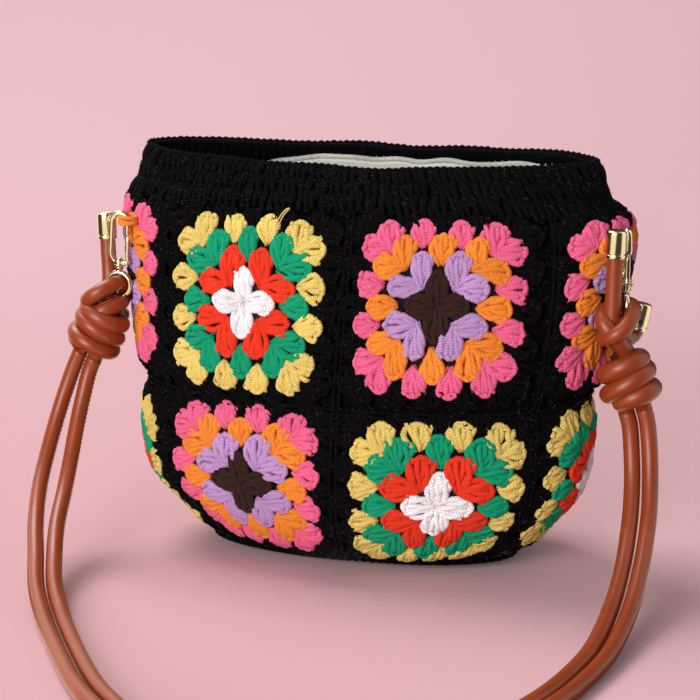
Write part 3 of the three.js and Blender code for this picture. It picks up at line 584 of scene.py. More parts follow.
# How each square sits in the soft wall: its shift in columns and rows, and its width and height
# against the even ones.
SQUARE_SETTING = {
    (5, 1): (-0.015, 0.0, 0.95, 0.97),
    (0, 1): (-0.055, 0.04, 0.95, 0.93),
    (5, 0): (0.0, 0.08, 1.04, 0.97),
    (0, 0): (0.035, 0.03, 1.11, 1.03),
    (1, 1): (-0.04, 0.065, 1.05, 0.93),
    (1, 0): (-0.02, 0.1, 1.0, 0.95),
    (4, 1): (0.04, 0.035, 1.1, 0.93),
    (4, 0): (0.02, -0.02, 1.0, 1.0),
}
EVEN_SETTING = (0.0, 0.02, 1.0, 0.97)


def in_square(column, row, a, b):
    """Column and row of a place in a square, whose sides are at a and b of -1 and 1."""
    shift_u, shift_v, wide, high = SQUARE_SETTING.get((column, row), EVEN_SETTING)
    hold = np.clip(1.35 - 0.7 * np.maximum(np.abs(a), np.abs(b)), 0, 1)
    level = row + 0.5 + b * HALF_ROWS[row] * (1 + (high - 1) * hold) + shift_v * hold
    half = 0.5 - JOIN_WIDTH_UPRIGHT / 2 / (girth_at(level) / SQUARES_AROUND)
    return column + 0.5 + a * half * (1 + (wide - 1) * hold) + shift_u * hold, level


# Crochet stitches. A cluster is three plump posts, each of two strands wound round each other,
# that fan out from one hole of the round before it, with the loops of their tops lying over them.

ROUND_REACH = (0.41, 0.64, 0.84, 1.0)
ROUND_ROUNDNESS = (2.2, 2.6, 3.4, 5.0)
TOP_DRAW = (1, 0.66, 0.8, 0.88, 0.96)
CORNER_HOLE = (1, 0.7, 0.86, 0.9, 0.93)
CORNER_TUCK = 1.5
BLACK_ROUND = 4
CLUSTER_HALF_WIDTHS = (7.2, 7.9, 7.9, 8.3, 8.6)
CLUSTER_TUCK = 7.6
TOP_INSET = 0.2
BLACK_GROUND_REACH = 0.87
COLUMN_NAMES = ("front_right", "right", "back_right", "back_left", "left", "front_left")
LIGHT_SQUARE = (WHITE, RED, GREEN, YELLOW)
DARK_SQUARE = (BROWN, LILAC, ORANGE, PINK)
UPPER_KINDS = "DDLDDL"
LOWER_KINDS = "LLDLLD"


def smooth_step(t):
    t = np.clip(t, 0, 1)
    return t * t * (3 - 2 * t)


def post_strands(rings, shoulder, foot):
    """Strands (strand, ring, (across, along, depth)) and radii of the posts of one cluster."""
    tau = np.linspace(0, 1, rings)
    paths = []
    sizes = []
    for post in (-1, 0, 1):
        fan = foot + (0.56 - foot) * np.sin(math.pi / 2 * np.clip(tau / 0.8, 0, 1)) ** 1.2
        for strand in (0, 1):
            phase = math.pi * (1.35 * tau + strand + 0.3 * post)
            swell = 0.05 + 0.13 * np.sin(math.pi / 2 * np.clip(tau / 0.6, 0, 1))
            across = post * fan + swell * np.cos(phase)
            along = tau * (0.94 if post == 0 else 0.94 * shoulder)
            depth = 1.35 + 1.35 * (1 - tau) ** 2 + 0.8 * tau ** 4 + 0.42 * np.sin(phase)
            paths.append(np.stack([across, along, depth], axis=1))
            sizes.append(1.75 * np.clip(0.35 + 0.85 * tau ** 0.6, 0, 1) * np.clip((1.15 - tau) * 4, 0.6, 1))
    return np.array(paths), np.array(sizes)


def top_strands(rings, shoulder):
    """A loop over the tip of each post, and one strand that links them along the top."""
    angle = math.pi * np.linspace(-0.1, 1.1, rings)
    round_size = np.sqrt(np.clip(1 - np.linspace(-1, 1, rings) ** 6, 0.2, 1))
    paths = []
    sizes = []
    for post in (-1, 0, 1):
        reach = 0.86 if post == 0 else 0.86 * shoulder
        across = post * 0.46 + 0.14 * np.cos(angle)
        along = reach + 0.055 * np.sin(angle) + 0.03 * np.cos(angle)
        depth = 1.9 - 0.6 * np.sin(angle) + 0.2 * post
        paths.append(np.stack([across, along, depth], axis=1))
        sizes.append(1.35 * round_size)
    link = np.linspace(-1, 1, rings)
    crown = 0.95 - (1.12 - shoulder) * link ** 2
    paths.append(np.stack([0.6 * link, crown, 1.3 + 0.7 * link ** 2], axis=1))
    sizes.append(1.3 * round_size)
    return np.array(paths), np.array(sizes)


def side_turn(side, x, y):
    c, s = ((1, 0), (0, 1), (-1, 0), (0, -1))[side]
    return np.array([x * c - y * s, x * s + y * c])


def round_outline(ring, side, t, edge):
    """A point of the outline of a round, for t from -1 to 1 along one side. edge is the cell's."""
    if ring == BLACK_ROUND:
        place = side_turn(side, 1, t)
        return place * np.array(edge)
    roundness = ROUND_ROUNDNESS[ring]
    length = (abs(t) ** roundness + 1) ** (1 / roundness)
    return side_turn(side, ROUND_REACH[ring] / length, ROUND_REACH[ring] * t / length)


def clusters(ring, edge, unit):
    """Base, top and half width of each cluster of a round, as (n, 2) arrays. unit is in mm."""
    count = ring + 1
    bases, tops, halves = [], [], []
    for side in range(4):
        for i in range(count):
            t = (-1 + (2 * i + 1) / count) * TOP_DRAW[ring]
            top = round_outline(ring, side, t, edge)
            base_t = -1 + 2 * i / max(1, count - 1)
            base = np.zeros(2)
            tuck = 0
            if ring and abs(base_t) == 1:
                base = round_outline(ring - 1, side, base_t, edge) * CORNER_HOLE[ring]
                tuck = CORNER_TUCK
            elif ring:
                base = round_outline(ring - 1, side, base_t * TOP_DRAW[ring - 1], edge)
                tuck = CLUSTER_TUCK
            way = (top - base) / np.linalg.norm(top - base)
            base = base - way * tuck / unit
            bases.append(base)
            tops.append(top - way * TOP_INSET / unit)
            halves.append(np.array([-way[1], way[0]]) * CLUSTER_HALF_WIDTHS[ring] / unit)
    return np.array(bases), np.array(tops), np.array(halves)


def weave_clusters(weave, column, row, ring, colour, post_rings, top_rings, sides, sink=0.0):
    pitch = girth_at(row + 0.5) / SQUARES_AROUND
    unit = (pitch - JOIN_WIDTH_UPRIGHT) / 2
    edge = (0.5 / (0.5 - JOIN_WIDTH_UPRIGHT / 2 / pitch) * 0.985, 0.5 / HALF_ROWS[row] * 0.985)
    bases, tops, halves = clusters(ring, edge, unit)
    n = len(bases)
    tops = tops + (tops - bases) * rng.normal(0, 0.025, (n, 1))
    halves = halves * (1 + rng.normal(0, 0.05, (n, 1)))
    tops = tops + halves * rng.normal(0, 0.09, (n, 1))
    shades = np.asarray(colour) * (1 + rng.normal(0, 0.035, (n, 1)))
    shoulder, foot = (0.9, 0.3) if ring == 0 else (0.93, 0.05)
    for paths, radii in (post_strands(post_rings, shoulder, foot), top_strands(top_rings, shoulder)):
        across = paths[None, :, :, 0, None]
        along = paths[None, :, :, 1, None]
        place = (bases[:, None, None] + (tops - bases)[:, None, None] * along
                 + halves[:, None, None] * across)
        place = place + rng.normal(0, 0.009, (n, paths.shape[0], 1, 2))
        u, v = in_square(column, row, place[..., 0], place[..., 1])
        depth = paths[None, :, :, 2] + sink + rng.normal(0, 0.16, (n, paths.shape[0], 1))
        points = wall_at(u, v, depth)
        facing = wall_normal(u, v)
        rings = paths.shape[1]
        size = np.broadcast_to(radii, (n, paths.shape[0], rings)).reshape(-1, rings)
        tint = np.repeat(shades, paths.shape[0], axis=0)
        weave.strands(points.reshape(-1, rings, 3), size, tint, facing.reshape(-1, rings, 3), sides)


def square_backing(weave, column, row, colours):
    """The dense crochet under the clusters, darkened as painted shade so that it shows dark between them."""
    steps = 25
    side = np.linspace(-0.97, 0.97, steps)
    a, b = np.meshgrid(side, side)
    reach = (np.abs(a) ** 4 + np.abs(b) ** 4) ** 0.25
    tint = np.select([reach < r for r in (0.36, 0.58, 0.78, BLACK_GROUND_REACH)], [0, 1, 2, 3], 4)
    ground = np.array(colours + (BLACK,))
    # Painted shade: the round colours are darkened to 3% and the black to half, so the gaps between clusters read as
    # shadow.
    shade = ground[tint] * np.where(tint == 4, 0.5, 0.03)[..., None]
    u, v = in_square(column, row, a, b)
    relief = 0.3 * np.cos(a * 30) * np.cos(b * 30)
    front = wall_at(u, v, BACKING_DEPTH - 0.45 + relief)
    back = wall_at(u, v, np.full(u.shape, BACKING_DEPTH + 0.5))
    points = np.concatenate([front, back[::-1]])
    weave.grid(points, np.concatenate([shade, shade[::-1]]), wrap_across=False)


def granny_square(column, row, kind):
    colours = LIGHT_SQUARE if kind == "L" else DARK_SQUARE
    level = "lower" if row == 0 else "upper"
    node = f"square_{level}_{COLUMN_NAMES[column]}"
    weave = Weave()
    square_backing(weave, column, row, colours)
    for ring, colour in enumerate(colours):
        weave_clusters(weave, column, row, ring, colour, post_rings=7, top_rings=6, sides=6)
    for end in STRAP_ENDS:
        if end["loop_node"] == node:
            yarn_loop(weave, end, colours)
    if node == "square_upper_front_left":
        loose_yarn(weave, column, row)
    weave.build(node + "_crochet", SQUARE_YARN, replaces=[node])


def panel(weave, origins, along, across, template, radii, depth, colour, sides=5, placer=None):
    """Repeats a template of strands (s along, t across, h outward) at origins (n, 2) of the wall."""
    origins = np.asarray(origins, float)
    along = np.broadcast_to(along, origins.shape)
    across = np.broadcast_to(across, origins.shape)
    s, t, h = (template[None, :, :, k] for k in range(3))
    place = (origins[:, None, None] + along[:, None, None] * s[..., None]
             + across[:, None, None] * t[..., None])
    u, v = place[..., 0], place[..., 1]
    jitter = rng.normal(0, 0.08, (len(origins), 1, 1))
    points = (placer or wall_at)(u, v, depth - h + jitter)
    facing = wall_normal(u, v)
    rings = template.shape[1]
    size = np.broadcast_to(radii, (len(origins), len(template), rings)).reshape(-1, rings)
    shade = np.asarray(colour) * (1 + rng.normal(0, 0.1, (len(origins), 1)))
    tint = np.repeat(shade, len(template), axis=0)
    weave.strands(points.reshape(-1, rings, 3), size, tint, facing.reshape(-1, rings, 3), sides)


def vee_template(rings=5):
    """One chain stitch: two strands that part from one point and lie over the next stitch."""
    tau = np.linspace(0, 1, rings)
    arms = []
    for way in (-1, 1):
        spread_out = way * (0.06 + 0.36 * np.sin(math.pi * (0.12 + 0.7 * tau)))
        arms.append(np.stack([-0.2 + 1.35 * tau, spread_out, 0.75 * np.sin(math.pi * tau)], axis=1))
    return np.array(arms), 0.5 + 0.5 * np.sin(math.pi * np.clip(tau, 0.08, 0.92))


def rib_template(rings=6):
    """One upright stitch of the band: two strands wound half round each other."""
    tau = np.linspace(0, 1, rings)
    strands = []
    for way in (0, 1):
        phase = math.pi * (1.1 * tau + way + 0.15)
        strands.append(np.stack([0.24 * np.cos(phase), -0.2 + 1.3 * tau,
                                 0.5 * np.sin(phase) + 0.35 * np.sin(math.pi * tau)], axis=1))
    return np.array(strands), 0.7 + 0.3 * np.sin(math.pi * np.clip(tau, 0.05, 0.95))


BAND_STITCHES = 150
BAND_ROWS = 3
RIDGE_STEP = 4.3


def wall_shell(weave, rows, outer_depth, inner_depth, columns=240, colour=BLACK):
    """A closed ring of the wall between two depths, for what lies under the stitches, its colour darkened to 0.6 as
    painted shade.
    """
    u = np.arange(columns) / columns * SQUARES_AROUND
    sheets = []
    for row, depth in [(r, outer_depth) for r in rows] + [(r, inner_depth) for r in rows[::-1]]:
        sheets.append(wall_at(u, np.full(columns, row), np.full(columns, depth)))
    points = np.array(sheets)
    # The colour is darkened to 0.6 as painted shade under the stitches.
    weave.grid(points, np.broadcast_to(np.asarray(colour) * 0.6, points.shape))


def joining_crochet():
    """The black round of each square, and the ridges of stitches that join the squares."""
    weave = Weave()
    wall_shell(weave, np.linspace(0, 2.0, 24), BACKING_DEPTH - 0.2, WALL_DEPTH, columns=180)
    for row in range(SQUARE_ROWS):
        for column in range(SQUARES_AROUND):
            weave_clusters(weave, column, row, BLACK_ROUND, BLACK, post_rings=5, top_rings=6, sides=5, sink=0.25)
    vee, vee_radii = vee_template()
    for row in range(SQUARE_ROWS + 1):
        count = int(girth_at(row) / RIDGE_STEP)
        if row == SQUARE_ROWS:
            continue
        u = np.arange(count) / count * SQUARES_AROUND
        level = 0.03 if row == 0 else row
        step = SQUARES_AROUND / count
        rise = 3.4 / row_length(min(row, 1))
        origins = np.stack([u, np.full(count, level)], axis=1)
        panel(weave, origins, (step, 0), (0, rise), vee, 1.15 * vee_radii, 1.9, BLACK)
    for column in range(SQUARES_AROUND):
        for row in range(SQUARE_ROWS):
            count = int(row_length(row) / RIDGE_STEP)
            v = row + (np.arange(count) + 0.2) / count
            origins = np.stack([np.full(count, float(column)), v], axis=1)
            pitch = girth_at(row + 0.5) / SQUARES_AROUND
            panel(weave, origins, (0, 1 / count), (-3.4 / pitch, 0), vee, 1.15 * vee_radii, 1.9, BLACK)
    weave.build("black_crochet", BLACK_YARN, replaces=["black_join_crochet"])


def rim_band():
    """Three rows of upright stitches with a chain over each, and the scalloped edge of the bag."""
    weave = Weave()
    wall_shell(weave, np.linspace(SQUARE_ROWS, RIM_ROW - 0.01, 8), 2.6, WALL_DEPTH - 0.9)
    rib, rib_radii = rib_template()
    vee, vee_radii = vee_template()
    height = (RIM_ROW - SQUARE_ROWS) / BAND_ROWS
    step = SQUARES_AROUND / BAND_STITCHES
    for i in range(BAND_ROWS):
        u = (np.arange(BAND_STITCHES) + rng.normal(0.1 * i, 0.14, BAND_STITCHES)) * step
        top_row = i == BAND_ROWS - 1
        v = SQUARE_ROWS + i * height + rng.normal(0, (0.02 if top_row else 0.09) * height, BAND_STITCHES)
        origins = np.stack([u, v], axis=1)
        lean = rng.normal(0.1, 0.2, BAND_STITCHES)[:, None] * np.array([step, 0])
        upright = lean + np.array([0, height * (0.8 if top_row else 1)])
        panel(weave, origins, (step, 0), upright, rib, 1.45 * rib_radii, 1.9, BLACK, sides=6)
        panel(weave, origins, (step, 0), upright, rib, 1.3 * rib_radii, WALL_DEPTH - 0.8, BLACK)
    u = np.arange(BAND_STITCHES) * step
    origins = np.stack([u, np.full(BAND_STITCHES, 0.5)], axis=1)

    def on_edge(u, across, lift):
        return (wall_at(u, np.full(u.shape, RIM_ROW - 0.01), 1.2 + 3.4 * across)
                + np.array([0, 0, -1.0]) * lift[..., None])

    panel(weave, origins, (step, 0), (0, 1.0), vee, 1.5 * vee_radii, 0.9, BLACK, sides=6, placer=on_edge)
    weave.build("band_crochet", BLACK_YARN, replaces=["rim_band"])


BASE_HEIGHT = 4.0
BASE_ROUNDS = 5
BASE_PITCH = 4.2


def base_oval(share, count, height):
    u = np.arange(count) / count * SQUARES_AROUND
    ring = wall_look_up(WALL_PLACES, u, np.zeros(count))
    points = ring * np.array([share, share, 0])
    points[:, 2] = height
    return points


def crochet_base():
    """Rounds of stitches that lie flat under the bag, on a dense core."""
    weave = Weave()
    count = 96
    flat = 0.84
    profile = [(0.02, 1.3), (0.3, 1.3), (0.6, 1.3), (flat, 1.3), (0.97, 2.4), (0.93, BASE_HEIGHT - 0.2),
               (0.6, BASE_HEIGHT), (0.3, BASE_HEIGHT), (0.02, BASE_HEIGHT)]
    points = np.array([base_oval(share, count, height) for share, height in profile])
    # The core is painted darker, at 0.6 of the black, as painted shade under the stitches.
    weave.grid(points, np.broadcast_to(np.asarray(BLACK) * 0.6, points.shape), wrap_along=False)
    rib, radii = rib_template()
    perimeter = WALL_GIRTHS[0]
    for i in range(BASE_ROUNDS):
        low, high = i / BASE_ROUNDS + 0.02, (i + 1) / BASE_ROUNDS
        stitches = max(8, int(perimeter * (low + high) / 2 / BASE_PITCH))
        turn = np.arange(stitches) / stitches * SQUARES_AROUND
        paths = []
        for strand in rib:
            u = turn[:, None] + strand[None, :, 0] * SQUARES_AROUND / stitches
            share = low + (high - low) * strand[None, :, 1]
            ring = wall_look_up(WALL_PLACES, u, np.zeros(u.shape)) * share[..., None]
            rise = 2.3 * np.clip((share - flat) / (1 - flat), 0, 1)
            ring[..., 2] = 1.35 - 0.25 * strand[None, :, 2] + rise
            paths.append(ring)
        paths = np.concatenate(paths)
        weave.strands(paths, 1.15 * radii, BLACK, np.array([0, 0, -1.0]), sides=5)
    weave.build("base_crochet", BLACK_YARN, replaces=["crochet_base"])


# Lining

LINING_DEPTH = 8.0
LINING_THICKNESS = 1.2
LINING_TOP_ROW = 2.255
LINING_FLOOR_SHARE = 0.68
HEM_RADIUS = 1.3


def lining():
    """A knitted white lining with soft upright folds and a rolled, wavy top edge."""
    weave = Weave()
    columns = 240
    u = np.arange(columns) / columns * SQUARES_AROUND
    turn = u / SQUARES_AROUND * 2 * math.pi
    wave = 0.009 * np.sin(9 * turn + 0.7) + 0.006 * np.sin(17 * turn)
    wave = wave - 0.065 * smooth_step((u - 3.3) / 0.5) * smooth_step((5.0 - u) / 0.4)
    rows = np.concatenate([np.linspace(0.18, 2.0, 26), np.linspace(2.02, LINING_TOP_ROW, 6)])

    def folds(row):
        fade = smooth_step((row - 0.3) / 0.5)
        return fade * (0.55 * np.sin(23 * turn + 2 * row) + 0.4 * np.sin(13 * turn - 3 * row + 1))

    def sheet(row, depth):
        lift = wave * smooth_step((row - 1.5) / 0.6)
        return wall_at(u, row + lift, depth + folds(row))

    def floor(share, height):
        ring = wall_look_up(WALL_PLACES, u, np.full(columns, 0.18)) * np.array([share, share, 0])
        ring[:, 2] = height
        return ring

    low = BASE_HEIGHT + 0.3
    outer = [floor(0.02, low), floor(LINING_FLOOR_SHARE * 0.7, low), floor(LINING_FLOOR_SHARE, low)]
    outer += [sheet(row, LINING_DEPTH - 0.6 if row < 2 else LINING_DEPTH - 1.6) for row in rows]
    inner = [sheet(row, LINING_DEPTH + LINING_THICKNESS - 0.5) for row in rows[::-1]]
    high = low + LINING_THICKNESS
    inner += [floor(LINING_FLOOR_SHARE * 0.96, high), floor(LINING_FLOOR_SHARE * 0.7, high), floor(0.02, high)]
    points = np.array(outer + inner)
    # The white is lighter and darker by 3% in upright bands at the spacing of the folds: painted shade of the folds.
    shade = np.asarray(LINING_WHITE) * (1 + 0.03 * np.sin(23 * turn))[None, :, None]
    weave.grid(points, np.broadcast_to(shade, points.shape), wrap_along=False)
    hem = sheet(LINING_TOP_ROW, LINING_DEPTH - 0.2)
    closed = np.concatenate([hem, hem[:2]])
    normal = wall_normal(np.concatenate([u, u[:2]]), np.full(columns + 2, LINING_TOP_ROW))
    weave.strands(closed[None], HEM_RADIUS, LINING_WHITE, normal[None], sides=10)
    stitches = 130
    station = np.arange(stitches) / stitches * SQUARES_AROUND
    lift = np.interp(station, u, wave)
    tau = np.linspace(0, 1, 5)
    sewn_u = station[:, None] + 0.55 * SQUARES_AROUND / stitches * tau
    sewn_v = LINING_TOP_ROW + lift[:, None] + 0.03 * (tau - 0.35)
    bulge = LINING_DEPTH - 0.3 - 1.3 * np.sin(math.pi * tau) * -1
    paths = wall_at(sewn_u, sewn_v, np.broadcast_to(bulge, sewn_u.shape))
    facing = -wall_normal(sewn_u, sewn_v)
    radii = 0.42 * np.sqrt(np.clip(1 - (2 * tau - 1) ** 4, 0.1, 1))
    weave.strands(paths, radii, np.asarray(LINING_WHITE) * 0.9, facing, sides=5)
    weave.build("lining_cloth", LINING_FINISH, replaces=["lining"])


# Strap cords. The routes run from the left knot over the floor in front to the right knot.

CORD_RADIUS = 4.0
OUTER_ROUTE = (
    (-144, -31, 102.4), (-146.8, -31.5, 96.1), (-151.6, -34, 82), (-155, -40.5, 66), (-156, -51, 51),
    (-154, -66, 38), (-148, -85, 26), (-138.5, -107, 17), (-126.8, -133.2, 10), (-112.2, -158.4, 5.5),
    (-95.5, -184.6, 4), (-66, -228.6, 4), (-49, -248, 4), (-20.3, -273.7, 4), (19.6, -288.3, 4),
    (63.6, -283, 4), (101, -257.1, 4), (124.8, -221.9, 4), (138, -190.5, 4), (145.2, -162, 4),
    (150.2, -137.6, 5.5), (152.8, -115.2, 9), (154.4, -93, 15), (155, -75, 23), (155, -59, 33),
    (154.5, -45.5, 45), (153.2, -36, 60), (151.6, -31, 74), (149.8, -29, 85.6), (147.8, -28.7, 92.3),
)
INNER_ROUTE = (
    (-136.1, -31.3, 99), (-138.9, -31.9, 92.6), (-141.4, -36, 79), (-142.4, -43, 65), (-142, -53, 50),
    (-140, -67, 37), (-136, -86, 26), (-129.5, -105, 16.5), (-119.2, -128.8, 10),
    (-104.8, -153.6, 5.5), (-88.5, -179.4, 4), (-59, -223.4, 4), (-43, -242, 4), (-15.7, -266.3, 4),
    (20.4, -279.7, 4), (60.4, -275, 4), (95, -250.9, 4), (117.2, -218.1, 4), (130, -187.5, 4),
    (136.8, -160, 4), (141.6, -136.4, 5.5), (144.1, -114.8, 9), (145.5, -93, 15), (146.2, -74, 23),
    (146.2, -58, 33), (145.7, -45.5, 45), (144.5, -36, 59), (143, -31.2, 72), (141.5, -29.2, 83.2),
    (139.5, -28.8, 89.9),
)
STITCH_PITCH = 2.3
SEAM_GROOVE = 0.35
SEAM_LIP = 0.22


def leather_tube(weave, path, radius, start_out, seam_turn=0.0, sides=22, width=1.0, stitches=True):
    """A round leather cord that is folded round its core and sewn along one side."""
    path = np.asarray(path, float)
    across, out, tangent = carried_frames(path, start_out)
    angle = np.arange(sides) / sides * 2 * math.pi
    seam = np.abs((angle - math.pi / 2 + math.pi) % (2 * math.pi) - math.pi)
    relief = SEAM_LIP * np.exp(-((seam - 0.3) / 0.16) ** 2) - SEAM_GROOVE * np.exp(-(seam / 0.13) ** 2)
    turned = angle + seam_turn
    shape = np.broadcast_to(radius, len(path))[:, None] + relief
    ring = across[:, None] * (shape * np.cos(turned))[:, :, None]
    ring = ring + out[:, None] * (shape * np.sin(turned) * width)[:, :, None]
    points = path[:, None] + ring
    # The seam groove is painted at 0.55 of the leather colour: painted shade in the groove.
    shade = np.where(seam < 0.14, 0.55, 1.0)[None, :, None] * np.asarray(LEATHER)
    colours = np.broadcast_to(shade, points.shape)
    weave.grid(points, colours, wrap_along=False)
    if not stitches:
        return
    run = np.concatenate([[0], np.cumsum(np.linalg.norm(np.diff(path, axis=0), axis=1))])
    stations = np.arange(STITCH_PITCH, run[-1] - STITCH_PITCH, STITCH_PITCH)
    pick = lambda field, at: np.stack([np.interp(at, run, field[:, k]) for k in range(3)], axis=1)
    steps = np.linspace(-0.5, 0.5, 5)
    heading = math.pi / 2 + seam_turn
    ways = []
    centres = []
    for step in steps:
        at = stations + step * STITCH_PITCH * 0.72
        outward = pick(across, at) * math.cos(heading) + pick(out, at) * math.sin(heading) * width
        lift = np.interp(at, run, np.broadcast_to(radius, len(path))) - 0.08 - 1.1 * step ** 2
        centres.append(pick(path, at) + outward * lift[:, None])
        ways.append(outward)
    profile = 0.36 * np.sqrt(np.clip(1 - (2 * steps) ** 4, 0.02, 1))
    weave.strands(np.stack(centres, 1), profile, THREAD, np.stack(ways, 1), sides=5)


def strap_cord(name, route, start_out, seam_turn):
    weave = Weave()
    path = smooth_path(route, 2.4)
    leather_tube(weave, path, CORD_RADIUS, start_out, seam_turn)
    cord = weave.build(name, LEATHER_FINISH, replaces=[name])
    return cord


# Strap ends. Each end has a hitch of cord round the clasp's ring, a stem, a knot of cord wound in
# a helix, and two tails that end in metal caps. Places are absolute; a clasp's own frame has the
# swivel axis on Z and the gate on +X.


def clasp_frame(at, turn, tilt):
    """The clasp's frame as a 3x3 turn and a place in millimetres."""
    c, s = math.cos(math.radians(turn)), math.sin(math.radians(turn))
    k, l = math.cos(math.radians(tilt)), math.sin(math.radians(tilt))
    about_z = np.array([[c, -s, 0], [s, c, 0], [0, 0, 1]])
    about_y = np.array([[k, 0, l], [0, 1, 0], [-l, 0, k]])
    return about_y @ about_z, np.asarray(at, float)


STRAP_ENDS = [
    {
        "side": "left",
        "loop_node": "square_upper_left",
        "clasp": clasp_frame((-123.8, -25.5, 146.5), 0, 3),
        "loop_arm": 4.3,
        "loop_height": 24.5,
        "loop_colour": ORANGE,
        "knot": {"at": (-134.4, -30, 113.6), "axis": (0.4, 0.08, 0.91), "height": 27, "radius": 14.8,
                 "start": 2.2, "hand": 1, "turns": 3, "pitch": 8.6, "tube": 4.7, "rise": 0.0},
        "hitch": [
            [(-130, -22, 121), (-125.4, -18.4, 127), (-123.2, -19.4, 133.6), (-124.2, -25.5, 137.6),
             (-126.2, -32.6, 137.4), (-131, -36.8, 134.6), (-136.4, -36, 131), (-139.2, -30.6, 128),
             (-137, -24, 125), (-131, -22, 121.5)],
            [(-137.6, -29, 121), (-133, -36.5, 123.2), (-127.2, -35.8, 125.8), (-123, -30, 127.6),
             (-124.2, -22.8, 127.6), (-129.6, -20, 125.2), (-134.4, -24, 121)],
        ],
        "tails": {
            "long": [(-129.2, -28, 128), (-130.4, -23.4, 134), (-131, -21.2, 142), (-131.8, -20.3, 153),
                     (-132.6, -19.4, 173)],
            "short": [(-131.4, -30, 128.5), (-130.8, -27.5, 127), (-128.2, -20.5, 121.5), (-126.9, -15.2, 117.5)],
        },
        "cap_dimple": None,
    },
    {
        "side": "right",
        "loop_node": "square_upper_right",
        "clasp": clasp_frame((136.3, -21, 150), -74, 0),
        "loop_arm": -4.3,
        "loop_height": 18.4,
        "loop_colour": PINK,
        "knot": {"at": (139.4, -28, 105.6), "axis": (-0.28, 0.05, 0.95), "height": 29, "radius": 15,
                 "start": 2.4, "hand": -1, "turns": 2.25, "pitch": 9.4, "tube": 5.1, "rise": 1.2},
        "hitch": [
            [(140.2, -27, 114), (137.4, -23, 119), (131.4, -22, 122.6), (127.6, -27, 125.4), (129.4, -34.4, 127),
             (134, -38, 129), (138, -36.8, 132), (140.6, -32.6, 136), (141, -26.6, 139.4),
             (138.8, -22, 141), (134.6, -21, 140.8), (130, -22.6, 139.8), (127.2, -28, 138),
             (127.6, -34, 135), (131, -36, 131), (135, -34, 126), (138, -30.4, 120.4),
             (139.4, -29, 114)],
        ],
        "tails": {
            "long": [(130.6, -31.5, 127), (131.5, -31.2, 134), (131.8, -30.5, 150), (132.4, -30.5, 179)],
            "short": [(133.6, -29, 128), (134.5, -26, 128), (138.2, -17.5, 124), (140.2, -14.3, 126),
                      (143.4, -12, 140.5)],
        },
        "cap_dimple": (0.35, -0.94, 0),
    },
]
COIL_SWELL = (0.6, 0.2, -0.5)
HITCH_TUBE = 4.0
KNOT_CORE = 7.2
TAIL_RADIUS = 3.9
CAP_RADIUS = 4.9
CAP_LENGTH = 13.5
STEM_RADIUS = 6.2
DIMPLE_HEIGHT = 4.6
ROOT_LENGTH = 9.0


def axis_frame(axis):
    """Across, depth and axis vectors about an axis, with depth towards the front."""
    axis = np.asarray(axis, float) / np.linalg.norm(axis)
    front = np.array([0, -1.0, 0])
    depth = front - axis * (front @ axis)
    depth /= np.linalg.norm(depth)
    return np.cross(axis, depth), depth, axis


def coil_path(knot):
    """The helix of cord of a knot, from its foot up, ending tucked into its core at both ends."""
    across, depth, axis = axis_frame(knot["axis"])
    centre = np.asarray(knot["at"], float)
    whole = knot["turns"] + 0.35
    turns = np.linspace(0, whole, 120)
    angle = knot["start"] + knot["hand"] * 2 * math.pi * turns
    ends = np.minimum(turns, whole - turns)
    reach = knot["radius"] - knot["tube"] + np.interp(turns / whole, [0.12, 0.48, 0.9], COIL_SWELL)
    reach = reach - 3.6 * (1 - smooth_step(ends / 0.3))
    height = knot["pitch"] * (turns - 0.17 - knot["turns"] / 2) + knot["rise"] * np.cos(angle)
    limit = knot["height"] / 2 - knot["tube"] + 0.8
    height = limit * np.tanh(height / limit * 1.1)
    return (centre + across * (reach * np.cos(angle))[:, None] + depth * (reach * np.sin(angle))[:, None]
            + axis * height[:, None])


def round_bar(weave, start, end, radii, colour, sides=24, rings=9):
    """A closed bar of round section between two places, with the given radii along it."""
    start, end = np.asarray(start, float), np.asarray(end, float)
    t = np.linspace(0, 1, rings)
    path = start + (end - start) * t[:, None]
    radius = np.interp(t, np.linspace(0, 1, len(radii)), radii)
    side = axis_frame(end - start)[1]
    weave.strands(path[None], radius[None], colour, side, sides=sides)


def strap_knot(end):
    weave = Weave()
    knot = end["knot"]
    across, depth, axis = axis_frame(knot["axis"])
    centre = np.asarray(knot["at"], float)
    half = knot["height"] / 2
    # The core and the stem are painted in the darkened leather, as painted shade in the gaps between the wraps.
    round_bar(weave, centre - axis * (half - 1.6), centre + axis * (half - 1.6),
              [KNOT_CORE - 2, KNOT_CORE, KNOT_CORE, KNOT_CORE - 2], LEATHER_IN_SHADE)
    hub = np.asarray(end["hitch"][0][0], float)
    round_bar(weave, centre + axis * (half - 6), hub + axis * 6, [STEM_RADIUS, STEM_RADIUS - 0.4, 4.6], LEATHER_IN_SHADE)
    coil = coil_path(knot)
    leather_tube(weave, coil, coil_tube_radii(len(coil), knot["tube"]), depth + axis,
                 seam_turn=-0.5 * knot["hand"], width=0.96)
    for i, route in enumerate(end["hitch"]):
        path = smooth_path(route, 1.4)
        taper = np.ones(len(path)) * HITCH_TUBE
        leather_tube(weave, path, taper, (0, -0.4, 0.9), seam_turn=0.6 + 0.5 * i)
    for route in (OUTER_ROUTE, INNER_ROUTE):
        last, before = np.asarray(route[:2] if end["side"] == "left" else route[:-3:-1], float)
        way = (last - before) / np.linalg.norm(last - before)
        reach = np.linspace(-0.5, ROOT_LENGTH, 6)[:, None]
        leather_tube(weave, last + way * reach, CORD_RADIUS, (1, 0, 0), seam_turn=0.3, stitches=False)
    for name, route in end["tails"].items():
        path = smooth_path(route, 1.6)
        leather_tube(weave, path, TAIL_RADIUS, (0.3, -0.9, 0.1), seam_turn=-1.2)
    side = end["side"]
    return weave.build(f"{side}_knot_leather", LEATHER_FINISH, replaces=[f"{side}_strap_knot"])


def coil_tube_radii(count, radius):
    turns = np.linspace(0, 1, count)
    return radius * (0.96 + 0.05 * np.sin(17 * turns))


